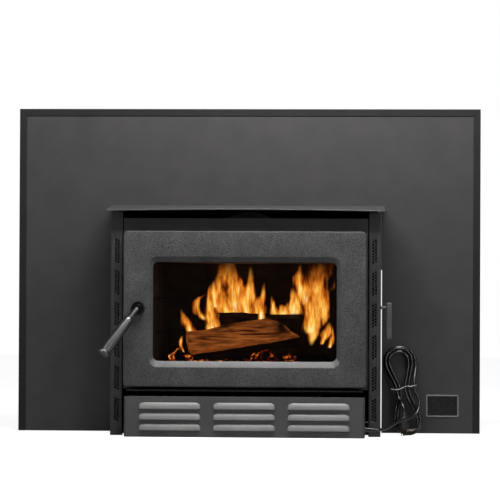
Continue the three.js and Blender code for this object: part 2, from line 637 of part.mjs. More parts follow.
// Tool for the window's sloped edges: it widens towards the door's face.
function bevel() {
  const [x, z0, z1] = [windowHalf, windowZ0, windowZ1];
  const wedge = (grow) => roundedOutline(-x - grow[0], x + grow[0], z0 - grow[1], z1 + grow[2],
    WINDOW_R + grow[0] * 0.66).extractPoints(4).shape;
  const front = wedge([BEVEL_SIDE, BEVEL_FOOT, BEVEL_TOP]);
  const back = wedge([0, 0, 0]);
  const n = front.length;
  const vertices = [];
  const scale = 1.02;                          // runs a little past the door's face
  front.forEach((q, i) => vertices.push(back[i].x + (q.x - back[i].x) * scale,
    doorY0 - BEVEL_D * (scale - 1), back[i].y + (q.y - back[i].y) * scale));
  back.forEach((q) => vertices.push(q.x, doorY0 + BEVEL_D, q.y));
  const faces = [];
  for (let i = 0; i < n; i += 1) {
    const j = (i + 1) % n;
    faces.push(i, j, j + n, i, j + n, i + n);
  }
  for (let i = 1; i < n - 1; i += 1) {
    faces.push(0, i + 1, i, n, n + i, n + i + 1);
  }
  const g = new THREE.BufferGeometry();
  g.setAttribute('position', new THREE.Float32BufferAttribute(vertices, 3));
  g.setIndex(faces);
  return outward(g);
}

// ---------- latch and handle ----------
// A round bar about the latch's axis.
function alongLatch(y0, y1, radius, sides = 24) {
  return rod([latchX, y0, latchZ], [latchX, y1, latchZ], radius, sides);
}

function latch() {
  const camY1 = frontY0 - 2.5;
  const camY0 = camY1 - CAM_T;
  const bossFace = doorY0 - BOSS_H;
  add('latch_shaft', join(alongLatch(bossFace - GAP, camY0 - GAP, SHAFT_R),
    alongLatch(doorWallY + 1, camY0 - GAP, SHAFT_R + 2)), 'steel');

  const footX = -(doorHalf - DOOR_RIM - GAP - 0.1);  // catch's outer face, inside the door's rim
  const camReach = latchX - footX - CATCH_T - 2.6;
  const arm = block(-camReach, 0, camY0, camY1, -5, 5).rotateY(THREE.MathUtils.degToRad(CAM_REST))
    .translate(latchX, 0, latchZ);
  add('latch_cam', join(alongLatch(camY0, camY1, SHAFT_R + 4), arm), 'steel');

  const lipY1 = camY0 - 0.6;                   // the lip passes ahead of the cam
  const [catchZ0, catchZ1] = [latchZ - 16, latchZ - 3];
  const lip = block(footX, footX + CATCH_LIP, lipY1 - CATCH_T, lipY1, catchZ0, catchZ1);
  const post = block(footX, footX + CATCH_T, lipY1 - CATCH_T, frontY0 - GAP, catchZ0, catchZ1);
  add('latch_catch', join(lip, post), 'steel');

  // Neck: a boss against the door, then a thin rod that carries the grip.
  const lean = THREE.MathUtils.degToRad(HANDLE_ANGLE);
  const down = new THREE.Vector3(-Math.sin(lean), 0, -Math.cos(lean));
  const start = new THREE.Vector3(latchX, bossFace - BOSS_H / 2, latchZ);
  const reach = down.clone().add(new THREE.Vector3(0, -HANDLE_FORWARD, 0)).normalize();
  const along = (distance) => start.clone().addScaledVector(reach, distance).toArray();
  const neck = join(alongLatch(bossFace, doorY0 - GAP * 2, BOSS_R, 32),
    alongLatch(bossFace - BOSS_H, bossFace + 1, 9), rod(along(0), along(NECK_L), NECK_R, 16));
  const socket = alongLatch(bossFace - GAP * 2, doorY0 + 2, SHAFT_R + GAP);
  add('handle_neck', cut(neck, socket), 'chrome');

  const grip = [
    [0, 0], [NECK_R + 2, 0], [GRIP_R - 1, 4], [GRIP_R, 10], [GRIP_R, GRIP_L - 8],
    [GRIP_R + 2.2, GRIP_L - 5], [GRIP_R + 2.2, GRIP_L - 1], [GRIP_R - 1, GRIP_L], [0, GRIP_L],
  ];
  const turn = new THREE.Quaternion().setFromUnitVectors(new THREE.Vector3(0, 0, 1), reach);
  add('handle_grip', turned(grip, 28).applyQuaternion(turn).translate(...along(NECK_L + GAP)),
    'chrome');
}

// ---------- air control on the right ----------
function airControl() {
  const rodFrom = boxHalf + 8;
  const rodTo = columnOut + LEVER_OUT - GAP;
  const crankTop = leverZ + CRANK_L;
  add('damper_rod', join(
    rod([rodFrom, leverY, leverZ], [rodTo, leverY, leverZ], LEVER_ROD_R, 16),
    block(rodFrom, rodFrom + 5, leverY - 5, leverY + 5, leverZ, crankTop + 5),
    rod([rodFrom + 2, leverY, crankTop], [rodFrom - 6, leverY, crankTop], CRANK_PIN_R, 12),
  ), 'steel');

  const grip = roundedOutline(leverY - 8, leverY + 8, leverZ + 12 - LEVER_H, leverZ + 12, 5);
  const outline = grip.extractPoints(4).shape.map((p) => [p.x, p.y]);
  add('damper_lever', bar(outline, rodTo + GAP, rodTo + GAP + LEVER_W), 'paint');

  // Slide: a plate over the air port, moved by the crank's pin in an upright slot.
  const slideX = boxHalf + GAP;
  const slideY = leverY - 52;
  const reach = CRANK_PIN_R + 2.4;
  const plate = block(slideX, slideX + DAMPER_T, slideY, slideY + 70, leverZ + 14, crankTop + 22);
  const slot = block(slideX - 1, slideX + DAMPER_T + 1, leverY - reach, leverY + reach,
    crankTop - 19, crankTop + 4);
  add('damper_slide', cut(plate, slot), 'steel');
}

// ---------- blower box ----------
function blower() {
  const coverBack = -SHELF_BEND_D - 10;
  const across = (y0, y1, z0, z1) => block(-coverHalf, coverHalf, y0, y1, z0, z1);
  const sides = [-coverHalf, coverHalf - COVER_T].map((x) => (
    block(x, x + COVER_T, coverY, coverBack, COVER_Z0, COVER_Z1)));
  const lip = across(coverY, coverY + COVER_LIP, COVER_Z1 - COVER_T, COVER_Z1);
  const foot = across(coverY, coverY + COVER_LIP, COVER_Z0, COVER_Z0 + COVER_T);
  const plain = join(across(coverY, coverY + COVER_T, COVER_Z0, COVER_Z1), ...sides, lip, foot);

  const width = (2 * (coverHalf - LOUVRE_MARGIN - LOUVRE_GAP)) / 3;
  const highest = COVER_Z1 - LOUVRE_HEAD;
  const drop = (highest - LOUVRE_H - LOUVRE_FOOT) / 2;
  const slots = [];
  const hoods = [];
  const hollows = [];
  for (const column of [-1, 0, 1]) {
    const [x, half] = [column * (width + LOUVRE_GAP), width / 2];
    for (let row = 0; row < 3; row += 1) {
      const top = highest - row * drop;
      const low = top - LOUVRE_H;
      const out = coverY - LOUVRE_OUT;
      slots.push(block(x - half + 4, x + half - 4, coverY - 5, coverY + 5, low, top - 5));
      hoods.push(bar([[coverY + 1, top], [coverY + 1, low], [out, low], [out, low + 3]],
        x - half, x + half));
      hollows.push(bar([[coverY + 3, top - 2.5], [coverY + 3, low - 3], [out + 1.5, low - 3],
        [out + 1.5, low + 2]], x - half + 3, x + half - 3));
    }
  }
  const sheet = cut(plain, ...slots, reliefHole());
  add('blower_cover', cut(join(sheet, ...hoods), ...hollows, ...slots), 'paint');

  const axis = (x0, x1, r, sides = 24) => rod([x0, fanY, fanZ], [x1, fanY, fanZ], r, sides);
  const motorHalf = MOTOR_W / 2;
  const stand = block(-motorHalf + 8, motorHalf - 8, fanY - 22, fanY + 22, BASE_T + GAP, fanZ);
  add('blower_motor', cut(join(axis(-motorHalf, motorHalf, MOTOR_R, 32), stand),
    axis(-motorHalf - 1, motorHalf + 1, FAN_SHAFT_R + PIN_CLEAR)), 'steel');
  const shaftEnd = fanX + WHEEL_W / 2 + 6;
  add('blower_shaft', axis(-shaftEnd, shaftEnd, FAN_SHAFT_R), 'steel');
  for (const [name, sign] of [['left', -1], ['right', 1]]) {
    const wheel = fanWheel().translate(sign * fanX, fanY, fanZ);
    add(`blower_wheel_${name}`, wheel, 'steel');
    add(`blower_casing_${name}`, fanCasing(sign * fanX), 'steel');
  }
}

// A drum wheel about X: a hub disc in the middle, two rings and the blades between them.
function fanWheel() {
  const half = WHEEL_W / 2;
  const along = (x0, x1, r) => rod([x0, 0, 0], [x1, 0, 0], r, 20);
  const ring = (x) => solid(along(x, x + 3, wheelR)).subtract(solid(along(x - 1, x + 4, wheelR - 9)));
  let wheel = solid(along(-1.5, 1.5, wheelR)).add(solid(along(-8, 8, 9)));
  wheel = wheel.add(ring(-half)).add(ring(half - 3));
  for (let i = 0; i < WHEEL_BLADES; i += 1) {
    const blade = block(-half + 1, half - 1, -0.6, 0.6, wheelR - 8, wheelR - 1);
    blade.rotateX((i * 2 * Math.PI) / WHEEL_BLADES);
    wheel = wheel.add(solid(blade));
  }
  return toGeometry(wheel.subtract(solid(along(-20, 20, FAN_SHAFT_R + 0.05))));
}

// A scroll casing about X, open at both sides and at the outlet behind.
function fanCasing(x) {
  const half = WHEEL_W / 2 + SCROLL_END;
  const inHalf = half - SCROLL_T;
  const outletY = fanY + scrollR + 22;
  const outside = join(rod([x - half, fanY, fanZ], [x + half, fanY, fanZ], scrollOut, 32),
    block(x - half, x + half, fanY, outletY, fanZ, fanZ + scrollOut),
    block(x - half + 12, x + half - 12, fanY - 15, fanY + 15, BASE_T + GAP,
      fanZ - scrollR - SCROLL_T / 2));
  const inside = join(rod([x - inHalf, fanY, fanZ], [x + inHalf, fanY, fanZ], scrollR, 32),
    block(x - inHalf, x + inHalf, fanY, outletY + 8, fanZ + SCROLL_T, fanZ + scrollR));
  const eye = rod([x - half - 5, fanY, fanZ], [x + half + 5, fanY, fanZ], wheelR - 8, 24);
  return cut(outside, inside, eye);
}

// ---------- logs ----------
function logs() {
  // slant: how far back the top of the right end is cut, per unit of height
  const wedge = (points, length, turnZ, turnY, [x, y, z], slant = 0) => {
    const shape = new THREE.Shape(points.map(([a, b]) => new THREE.Vector2(a, b)));
    const g = new THREE.ExtrudeGeometry(shape, { depth: length, bevelEnabled: false });
    const foot = Math.min(...points.map(([, b]) => b));
    const { position } = g.attributes;
    for (let i = 0; i < position.count; i += 1) {
      const along = position.getZ(i);
      if (along > length / 2) position.setZ(i, along - slant * (position.getY(i) - foot));
    }
    g.translate(0, 0, -length / 2).rotateX(Math.PI / 2).rotateZ(Math.PI / 2);
    return g.rotateY(turnY).rotateZ(turnZ).translate(x, y, z);
  };
  const rest = brickTop + GAP;
  const across = 2 * chamberHalf;
  add('log_base', wedge([[-45, 0], [42, 0], [50, 18], [16, 36], [-34, 33], [-52, 16]],
    across - 151.4, 0.2, 0, [40, 100, rest]), 'wood');
  add('log_front', wedge([[-36, -20], [30, -28], [46, 6], [4, 34], [-34, 26]],
    across - 170, 0.04, -0.165, [-10, 20, rest + 80], 1.1), 'wood');
  add('log_back', wedge([[-44, -26], [40, -30], [50, 18], [6, 56], [-40, 44]],
    across - 200, -0.06, 0.03, [-4, 124, rest + 80]), 'wood');
}

// ---------- mains cord ----------
function reliefHole() {
  return rod([coverHalf - 8, cordY, CORD_Z], [coverHalf + 8, cordY, CORD_Z], 5.5, 16);
}

// A tube along a smooth curve through chosen points.
function freeCord(points) {
  const path = new THREE.CatmullRomCurve3(points.map((p) => new THREE.Vector3(...p)),
    false, 'centripetal');
  const section = new THREE.Shape();
  for (let i = 0; i < LEAD_SIDES; i += 1) {
    const a = (i * 2 * Math.PI) / LEAD_SIDES;
    const [u, v] = [(Math.cos(a) * CORD_D) / 2, (Math.sin(a) * CORD_D) / 2];
    if (i === 0) section.moveTo(u, v);
    else section.lineTo(u, v);
  }
  const steps = Math.ceil(path.getLength() / (CORD_D * 2.5));
  return new THREE.ExtrudeGeometry(section, { steps, bevelEnabled: false, extrudePath: path });
}

const HANK = {
  x: 376,                        // centre of the waist
  lean: 12,                      // degrees back against the faceplate
  tilt: 9,                       // degrees, top towards the firebox
  pitch: 8.4,                    // between neighbouring loops and between layers
  fold: 21,                      // innermost fold radius, three cord diameters
  run: 146,                      // straight run between the folds
  draw: 17,                      // how far the waist is drawn in
  entry: 5,                      // how far outside the loops the cord comes in
  reversal: 2,                   // turns before the spiral turns outwards again
};

// Centreline of the hank at a number of turns, in its own plane: across, along, layer height.
function hankLocal(turns) {
  const inward = HANK.reversal;
  const [q, half] = [1 / 8, HANK.run / 2];
  const ease = (t) => { const c = Math.min(Math.max(t, 0), 1); return c * c * (3 - 2 * c); };
  const radius = HANK.fold + HANK.pitch * Math.abs(inward - turns)
    + HANK.entry * (1 - ease(turns / (2 * q)));
  const f = turns - Math.floor(turns + 1e-9);
  let u = radius;
  let v = 0;
  if (f < q) v = (f / q) * half;
  else if (f < 3 * q) {
    const a = ((f - q) / (2 * q)) * Math.PI;
    [u, v] = [radius * Math.cos(a), half + radius * Math.sin(a)];
  } else if (f < 5 * q) [u, v] = [-radius, half - ((f - 3 * q) / (2 * q)) * HANK.run];
  else if (f < 7 * q) {
    const a = ((f - 5 * q) / (2 * q)) * Math.PI;
    [u, v] = [-radius * Math.cos(a), -half - radius * Math.sin(a)];
  } else v = -half + ((f - 7 * q) / q) * half;
  if (Math.abs(v) < half) {
    u -= Math.sign(u) * HANK.draw * Math.cos((Math.PI * v) / HANK.run) ** 2;
  }
  const end = HANK_LOOPS - 0.5;
  const layer = 1.5 - 2 * ease(turns / q) + ease((turns - inward + q) / (2 * q))
    + ease((turns - end + q) / q);
  return [u, v, layer * HANK.pitch];
}

// The same centreline placed: standing on the hearth and leaning on the faceplate.
function hankPath() {
  const steps = HANK_STEPS * (HANK_LOOPS - 0.5);
  const [lean, tilt] = [HANK.lean, HANK.tilt].map(THREE.MathUtils.degToRad);
  const place = new THREE.Matrix4().makeBasis(
    new THREE.Vector3(1, 0, 0),
    new THREE.Vector3(0, Math.sin(lean), Math.cos(lean)),
    new THREE.Vector3(0, -Math.cos(lean), Math.sin(lean)),
  ).multiply(new THREE.Matrix4().makeRotationZ(tilt));
  const points = [];
  for (let i = 0; i <= steps; i += 1) {
    points.push(new THREE.Vector3(...hankLocal(i / HANK_STEPS)).applyMatrix4(place));
  }
  const lowest = Math.min(...points.map((p) => p.z));
  const rearmost = Math.max(...points.map((p) => p.y));
  const shift = new THREE.Vector3(HANK.x, -SURROUND_T - 1 - CORD_D / 2 - rearmost,
    GAP + CORD_D / 2 - lowest);
  points.forEach((p) => p.add(shift));
  return { points, place, shift };
}

// A tube along a polyline: one ring of corners at each point, with flat ends.
function polyTube(points, sides) {
  const vertices = [];
  const faces = [];
  const n = points.length;
  const tangent = (i) => points[Math.min(i + 1, n - 1)].clone()
    .sub(points[Math.max(i - 1, 0)]).normalize();
  let normal = new THREE.Vector3(0, 1, 0);
  points.forEach((p, i) => {
    const t = tangent(i);
    normal = normal.addScaledVector(t, -normal.dot(t)).normalize();
    const side = t.clone().cross(normal);
    for (let k = 0; k < sides; k += 1) {
      const a = (k * 2 * Math.PI) / sides;
      const corner = p.clone().addScaledVector(normal, (Math.cos(a) * CORD_D) / 2)
        .addScaledVector(side, (Math.sin(a) * CORD_D) / 2);
      vertices.push(corner.x, corner.y, corner.z);
    }
  });
  for (let i = 0; i < n - 1; i += 1) {
    for (let k = 0; k < sides; k += 1) {
      const [a, b] = [i * sides + k, i * sides + ((k + 1) % sides)];
      faces.push(a, b, b + sides, a, b + sides, a + sides);
    }
  }
  const last = (n - 1) * sides;
  for (let k = 1; k < sides - 1; k += 1) {
    faces.push(0, k + 1, k, last, last + k, last + k + 1);
  }
  const g = new THREE.BufferGeometry();
  g.setAttribute('position', new THREE.Float32BufferAttribute(vertices, 3));
  g.setIndex(faces);
  return outward(g);
}

// Least distance between stretches of the hank that aren't next to each other along it.
function leastGap(points) {
  let least = Infinity;
  const near = 4;
  const [a, b] = [new THREE.Vector3(), new THREE.Vector3()];
  for (let i = 0; i < points.length - 1; i += 1) {
    for (let j = i + near; j < points.length - 1; j += 1) {
      for (let s = 0; s <= 1; s += 0.125) {
        a.lerpVectors(points[i], points[i + 1], s);
        const segment = new THREE.Line3(points[j], points[j + 1]);
        segment.closestPointToPoint(a, true, b);
        least = Math.min(least, a.distanceTo(b));
      }
    }
  }
  return least - CORD_D;
}

function cord() {
  // Strain relief on the right side of the blower box, turned about X.
  const relief = [[0, -6], [5.2, -6], [5.2, 0], [8, 0], [8, 2.5], [6.5, 3], [4.6, RELIEF_L],
    [0, RELIEF_L]];
  add('strain_relief', turned(relief, 20).rotateY(Math.PI / 2)
    .translate(reliefX, cordY, CORD_Z), 'rubber');

  const { points, place, shift } = hankPath();
  add('cord_hank', polyTube(points, HANK_SIDES), 'rubber');
  console.log(`least gap of the hank to itself: ${leastGap(points).toFixed(2)} mm`);

  const first = points[0];
  const last = points[points.length - 1];
  const into = points[1].clone().sub(first).normalize();
  const outOf = last.clone().sub(points[points.length - 2]).normalize();
  const startX = reliefX + RELIEF_L + GAP;
  const lead = freeCord([
    [startX, cordY, CORD_Z], [startX + CORD_D, cordY, CORD_Z],
    [330, -166, 22], [346, -142, 29], [362, -115, 36], [376, -97, 40], [389, -84, 43],
    [402, -73, 50], [411, -63, 64], [412, -55, 82], [407, -48, 98],
    first.clone().addScaledVector(into, -CORD_D - GAP).toArray(),
    first.clone().addScaledVector(into, -GAP).toArray(),
  ]);
  add('cord_lead', lead, 'rubber');

  const [plugX, plugY, plugTop] = [376, -75, 56];
  const tail = freeCord([
    last.clone().addScaledVector(outOf, GAP).toArray(),
    last.clone().addScaledVector(outOf, GAP + CORD_D).toArray(),
    [365, -55, 86], [371, -66, 77],
    [plugX, plugY, plugTop + GAP + CORD_D],
    [plugX, plugY, plugTop + GAP],
  ]);
  add('cord_tail', tail, 'rubber');
  const pinTop = 15;
  add('plug_body', turned([[0, pinTop + 1.8], [11, pinTop + 1.8], [12, pinTop + 5], [12, 38],
    [8, 46], [5, plugTop], [0, plugTop]], 16).translate(plugX, plugY, 0), 'rubber');
  add('plug_pins', join(
    rod([plugX, plugY, pinTop], [plugX, plugY, pinTop + 1.5], 10.5, 16),
    block(plugX - 6.9, plugX - 5.4, plugY - 3.2, plugY + 3.2, GAP, pinTop + 0.5),
    block(plugX + 5.4, plugX + 6.9, plugY - 3.2, plugY + 3.2, GAP, pinTop + 0.5),
    rod([plugX, plugY + 6.5, GAP], [plugX, plugY + 6.5, pinTop + 0.5], 2.4, 12),
  ), 'brass');

  // Tie: a band round the hank a little above its waist.
  const [tieU, tieW0, tieW1, tieAt, tieT] = [31.5, -9.5, 18, 8, 1.2];
  const band = (grow) => {
    const s = new THREE.Shape();
    const r = 6;
    const [a, b, c, d] = [-tieU - grow, tieU + grow, tieW0 - grow, tieW1 + grow];
    s.moveTo(a + r, c).lineTo(b - r, c).absarc(b - r, c + r, r, -Math.PI / 2, 0);
    s.absarc(b - r, d - r, r, 0, Math.PI / 2).absarc(a + r, d - r, r, Math.PI / 2, Math.PI);
    s.absarc(a + r, c + r, r, Math.PI, 1.5 * Math.PI);
    return s;
  };
  const outer = band(tieT);
  outer.holes.push(band(0));
  const tie = new THREE.ExtrudeGeometry(outer, { depth: 3, bevelEnabled: false, curveSegments: 3 });
  const upright = new THREE.Matrix4().makeBasis(new THREE.Vector3(1, 0, 0),
    new THREE.Vector3(0, 0, 1), new THREE.Vector3(0, -1, 0));
  tie.applyMatrix4(upright).translate(0, tieAt, 0).applyMatrix4(place)
    .translate(...shift.toArray());
  add('cord_tie', tie, 'tie');
}

body();
lining();
casing();
door();
latch();
airControl();
blower();
logs();
cord();

export default insert;
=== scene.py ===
"""A wood-burning fireplace insert: steel body, cast door, blower box, faceplate and mains cord.

Metres, +Z up, the room is towards -Y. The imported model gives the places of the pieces."""

import json
import math

import bmesh
import bpy
from mathutils import Matrix, Vector, noise

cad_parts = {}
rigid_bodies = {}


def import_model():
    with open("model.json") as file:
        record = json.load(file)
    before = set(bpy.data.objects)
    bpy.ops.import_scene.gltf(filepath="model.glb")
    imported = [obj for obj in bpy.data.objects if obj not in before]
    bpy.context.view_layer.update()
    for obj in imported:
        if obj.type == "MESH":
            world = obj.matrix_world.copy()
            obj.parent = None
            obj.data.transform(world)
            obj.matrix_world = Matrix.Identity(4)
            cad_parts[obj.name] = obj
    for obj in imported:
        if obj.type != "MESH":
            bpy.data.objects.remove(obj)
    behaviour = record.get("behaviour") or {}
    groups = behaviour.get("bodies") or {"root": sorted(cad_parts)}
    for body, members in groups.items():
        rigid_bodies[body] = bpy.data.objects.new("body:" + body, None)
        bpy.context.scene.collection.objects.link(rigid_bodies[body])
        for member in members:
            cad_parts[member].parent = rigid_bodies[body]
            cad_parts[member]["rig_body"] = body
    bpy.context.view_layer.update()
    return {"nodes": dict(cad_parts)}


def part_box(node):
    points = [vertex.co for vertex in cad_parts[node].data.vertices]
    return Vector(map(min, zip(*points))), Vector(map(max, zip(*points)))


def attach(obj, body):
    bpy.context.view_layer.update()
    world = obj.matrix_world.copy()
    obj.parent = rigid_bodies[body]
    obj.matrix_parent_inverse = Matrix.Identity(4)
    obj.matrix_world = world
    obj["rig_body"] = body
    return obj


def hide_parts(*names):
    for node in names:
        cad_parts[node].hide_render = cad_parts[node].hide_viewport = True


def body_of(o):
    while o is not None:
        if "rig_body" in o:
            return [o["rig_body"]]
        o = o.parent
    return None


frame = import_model()
MM = 0.001

# ---------- camera, at the photograph's viewing angle ----------
PHOTO_PX = 500
# Chosen: the photograph's edges fit a nearer or farther camera about as well.
FOCAL_PX = 2493
EYE = Vector((0.3036, -6.0337, 0.3724))
YAW = math.radians(2.853)        # to the left, back to the middle of the object
PITCH = math.radians(0.670)
ROLL = math.radians(0.259)


def make_camera():
    data = bpy.data.cameras.new("camera")
    data.sensor_width = 36
    data.lens = FOCAL_PX / PHOTO_PX * data.sensor_width
    data.clip_start = 0.05
    camera = bpy.data.objects.new("camera", data)
    bpy.context.scene.collection.objects.link(camera)
    camera.matrix_world = (
        Matrix.Translation(EYE)
        @ Matrix.Rotation(YAW, 4, "Z")
        @ Matrix.Rotation(math.pi / 2 + PITCH, 4, "X")
        @ Matrix.Rotation(ROLL, 4, "Z")
    )
    bpy.context.scene.camera = camera


# ---------- small helpers ----------
def linear(hex_colour, alpha=1.0):
    """An sRGB hex colour as linear RGBA."""
    parts = [int(hex_colour[i : i + 2], 16) / 255 for i in (1, 3, 5)]
    return [p / 12.92 if p <= 0.04045 else ((p + 0.055) / 1.055) ** 2.4 for p in parts] + [alpha]


def add(tree, kind, inputs=None, **settings):
    """Adds a shader node with its settings, and sets or links its inputs."""
    made = tree.nodes.new(kind)
    for name, value in settings.items():
        setattr(made, name, value)
    for name, value in (inputs or {}).items():
        socket = made.inputs[name]
        if isinstance(value, bpy.types.NodeSocket):
            tree.links.new(value, socket)
        else:
            socket.default_value = value
    return made


def surface(name, **values):
    """A new material with one Principled shader. Returns it with its tree and shader."""
    material = bpy.data.materials.new(name)
    material.use_nodes = True
    tree = material.node_tree
    tree.nodes.clear()
    shader = add(tree, "ShaderNodeBsdfPrincipled")
    for key, value in values.items():
        shader.inputs[key.replace("_", " ").title().replace("Ior", "IOR")].default_value = value
    add(tree, "ShaderNodeOutputMaterial", {"Surface": shader.outputs[0]})
    return material, tree, shader


def grain(tree, size_mm, detail=2.0, stretch=(1, 1, 1)):
    """Noise whose grains are about size_mm across on the object."""
    place = add(tree, "ShaderNodeTexCoord").outputs["Object"]
    scaled = add(tree, "ShaderNodeMapping", {"Vector": place, "Scale": stretch}).outputs[0]
    return add(tree, "ShaderNodeTexNoise", {
        "Vector": scaled, "Scale": 1 / (size_mm * MM), "Detail": detail,
    }).outputs["Fac"]


def vary(tree, factor, low, high, first, second, rgba=True):
    """Blends two colours or values as a noise goes from low to high."""
    span = add(tree, "ShaderNodeMapRange", {
        "Value": factor, "From Min": low, "From Max": high}).outputs[0]
    if rgba:
        return add(tree, "ShaderNodeMix", {0: span, 6: first, 7: second}, data_type="RGBA").outputs[2]
    return add(tree, "ShaderNodeMapRange", {
        "Value": factor, "From Min": low, "From Max": high, "To Min": first, "To Max": second,
    }).outputs[0]


def bump(tree, height, depth_mm, strength=1.0):
    return add(tree, "ShaderNodeBump", {
        "Height": height, "Distance": depth_mm * MM, "Strength": strength}).outputs[0]


# ---------- materials ----------
def sprayed_paint(name, dark, light, roughness, grain_mm, depth_mm, speckle=0.12, shine=0.3):
    """Heat-proof stove paint sprayed on steel or iron: satin, with a fine dry grain."""
    material, tree, shader = surface(name, roughness=roughness, specular_ior_level=shine)
    broad = grain(tree, 60, 3)
    fine = grain(tree, grain_mm, 2)
    colour = vary(tree, broad, 0.35, 0.65, linear(dark), linear(light))
    speck = vary(tree, fine, 0.35, 0.65, [1 - speckle * 1.4] * 3 + [1], [1 + speckle] * 3 + [1])
    mixed = add(tree, "ShaderNodeMix", {0: 1.0, 6: colour, 7: speck},
                data_type="RGBA", blend_type="MULTIPLY").outputs[2]
    tree.links.new(mixed, shader.inputs["Base Color"])
    tree.links.new(vary(tree, fine, 0.3, 0.7, roughness - 0.06, roughness + 0.06, rgba=False),
                   shader.inputs["Roughness"])
    tree.links.new(bump(tree, fine, depth_mm), shader.inputs["Normal"])
    return material


def bare_metal(name, colour, roughness):
    """Mill-finish or brushed metal: long fine scratches and a broken shine."""
    material, tree, shader = surface(name, base_color=linear(colour), metallic=1.0,
                                     roughness=roughness)
    scratch = grain(tree, 1.5, 3, (1, 1, 12))
    tree.links.new(vary(tree, scratch, 0.3, 0.7, roughness * 0.7, roughness * 1.3, rgba=False),
                   shader.inputs["Roughness"])
    tree.links.new(bump(tree, scratch, 0.03, 0.6), shader.inputs["Normal"])
    return material


def plated(name, colour, roughness):
    """Smooth plating: handling smudges break its shine a little."""
    material, tree, shader = surface(name, base_color=linear(colour), metallic=1.0)
    smudge = grain(tree, 40, 1)
    tree.links.new(vary(tree, smudge, 0.3, 0.7, roughness * 0.9, roughness * 1.15, rgba=False),
                   shader.inputs["Roughness"])
    return material


def fire_brick():
    """Pressed refractory brick, pitted and dark with soot."""
    material, tree, shader = surface("fire_brick_sooty", roughness=0.95)
    soot = grain(tree, 90, 4)
    pits = grain(tree, 3, 4)
    tree.links.new(vary(tree, soot, 0.35, 0.62, linear("#16110d"), linear("#3d3026")),
                   shader.inputs["Base Color"])
    tree.links.new(bump(tree, pits, 0.8), shader.inputs["Normal"])
    return material


def glass_rope():
    """Knitted glass-fibre rope: grey and uneven, its stitches about 3 mm across."""
    material, tree, shader = surface("glass_rope_knit", roughness=0.9)
    knit = grain(tree, 3, 1)
    tree.links.new(vary(tree, knit, 0.4, 0.6, linear("#3c3935"), linear("#77726a")),
                   shader.inputs["Base Color"])
    tree.links.new(bump(tree, knit, 0.8), shader.inputs["Normal"])
    return material


def stove_glass():
    """Ceramic glass: thin and nearly clear, with a faint haze in its shine."""
    material, tree, shader = surface("ceramic_glass", base_color=linear("#0a0908"), roughness=0.06,
                                     alpha=0.10)
    haze = grain(tree, 40, 2)
    tree.links.new(vary(tree, haze, 0.3, 0.7, 0.04, 0.09, rgba=False), shader.inputs["Roughness"])
    return material


def moulded_pvc(name, colour, roughness, shine=0.5):
    """Extruded or moulded PVC: smooth, softly shining."""
    material, tree, shader = surface(name, base_color=linear(colour), roughness=roughness,
                                     specular_ior_level=shine)
    skin = grain(tree, 4, 2)
    tree.links.new(vary(tree, skin, 0.3, 0.7, roughness - 0.05, roughness + 0.07, rgba=False),
                   shader.inputs["Roughness"])
    tree.links.new(bump(tree, skin, 0.05), shader.inputs["Normal"])
    return material


def split_log(name, dark, light, char_from, char_to, painted_firelight_level):
    """Split hardwood, charred in places: grain runs along the log; the firelight on its face is painted
    light, a faint glow of the wood's own colour.
    """
    material, tree, shader = surface(name, roughness=0.9, specular_ior_level=0.1)
    fibres = grain(tree, 5, 6, (0.08, 1, 1))
    char = grain(tree, 60, 4, (0.5, 1, 1))
    wood = vary(tree, fibres, 0.34, 0.64, linear(dark), linear(light))
    colour = vary(tree, char, char_from, char_to, linear("#060302"), wood)
    tree.links.new(colour, shader.inputs["Base Color"])
    # Painted firelight: the uncharred wood gives off a faint light of its own colour.
    glow = vary(tree, char, char_from, char_to, [0, 0, 0, 1], wood)
    tree.links.new(glow, shader.inputs["Emission Color"])
    shader.inputs["Emission Strength"].default_value = painted_firelight_level
    tree.links.new(bump(tree, fibres, 3.5), shader.inputs["Normal"])
    return material


def ramp(tree, factor, *stops):
    """A colour ramp through (place, hex colour) stops."""
    node = add(tree, "ShaderNodeValToRGB", {"Fac": factor})
    points = node.color_ramp.elements
    while len(points) < len(stops):
        points.new(0.5)
    for point, (place, colour) in zip(points, stops):
        point.position = place
        point.color = linear(colour)
    return node.outputs["Color"]


def maths(tree, operation, first, second=0.0, clamp=False):
    return add(tree, "ShaderNodeMath", {0: first, 1: second}, operation=operation,
               use_clamp=clamp).outputs[0]


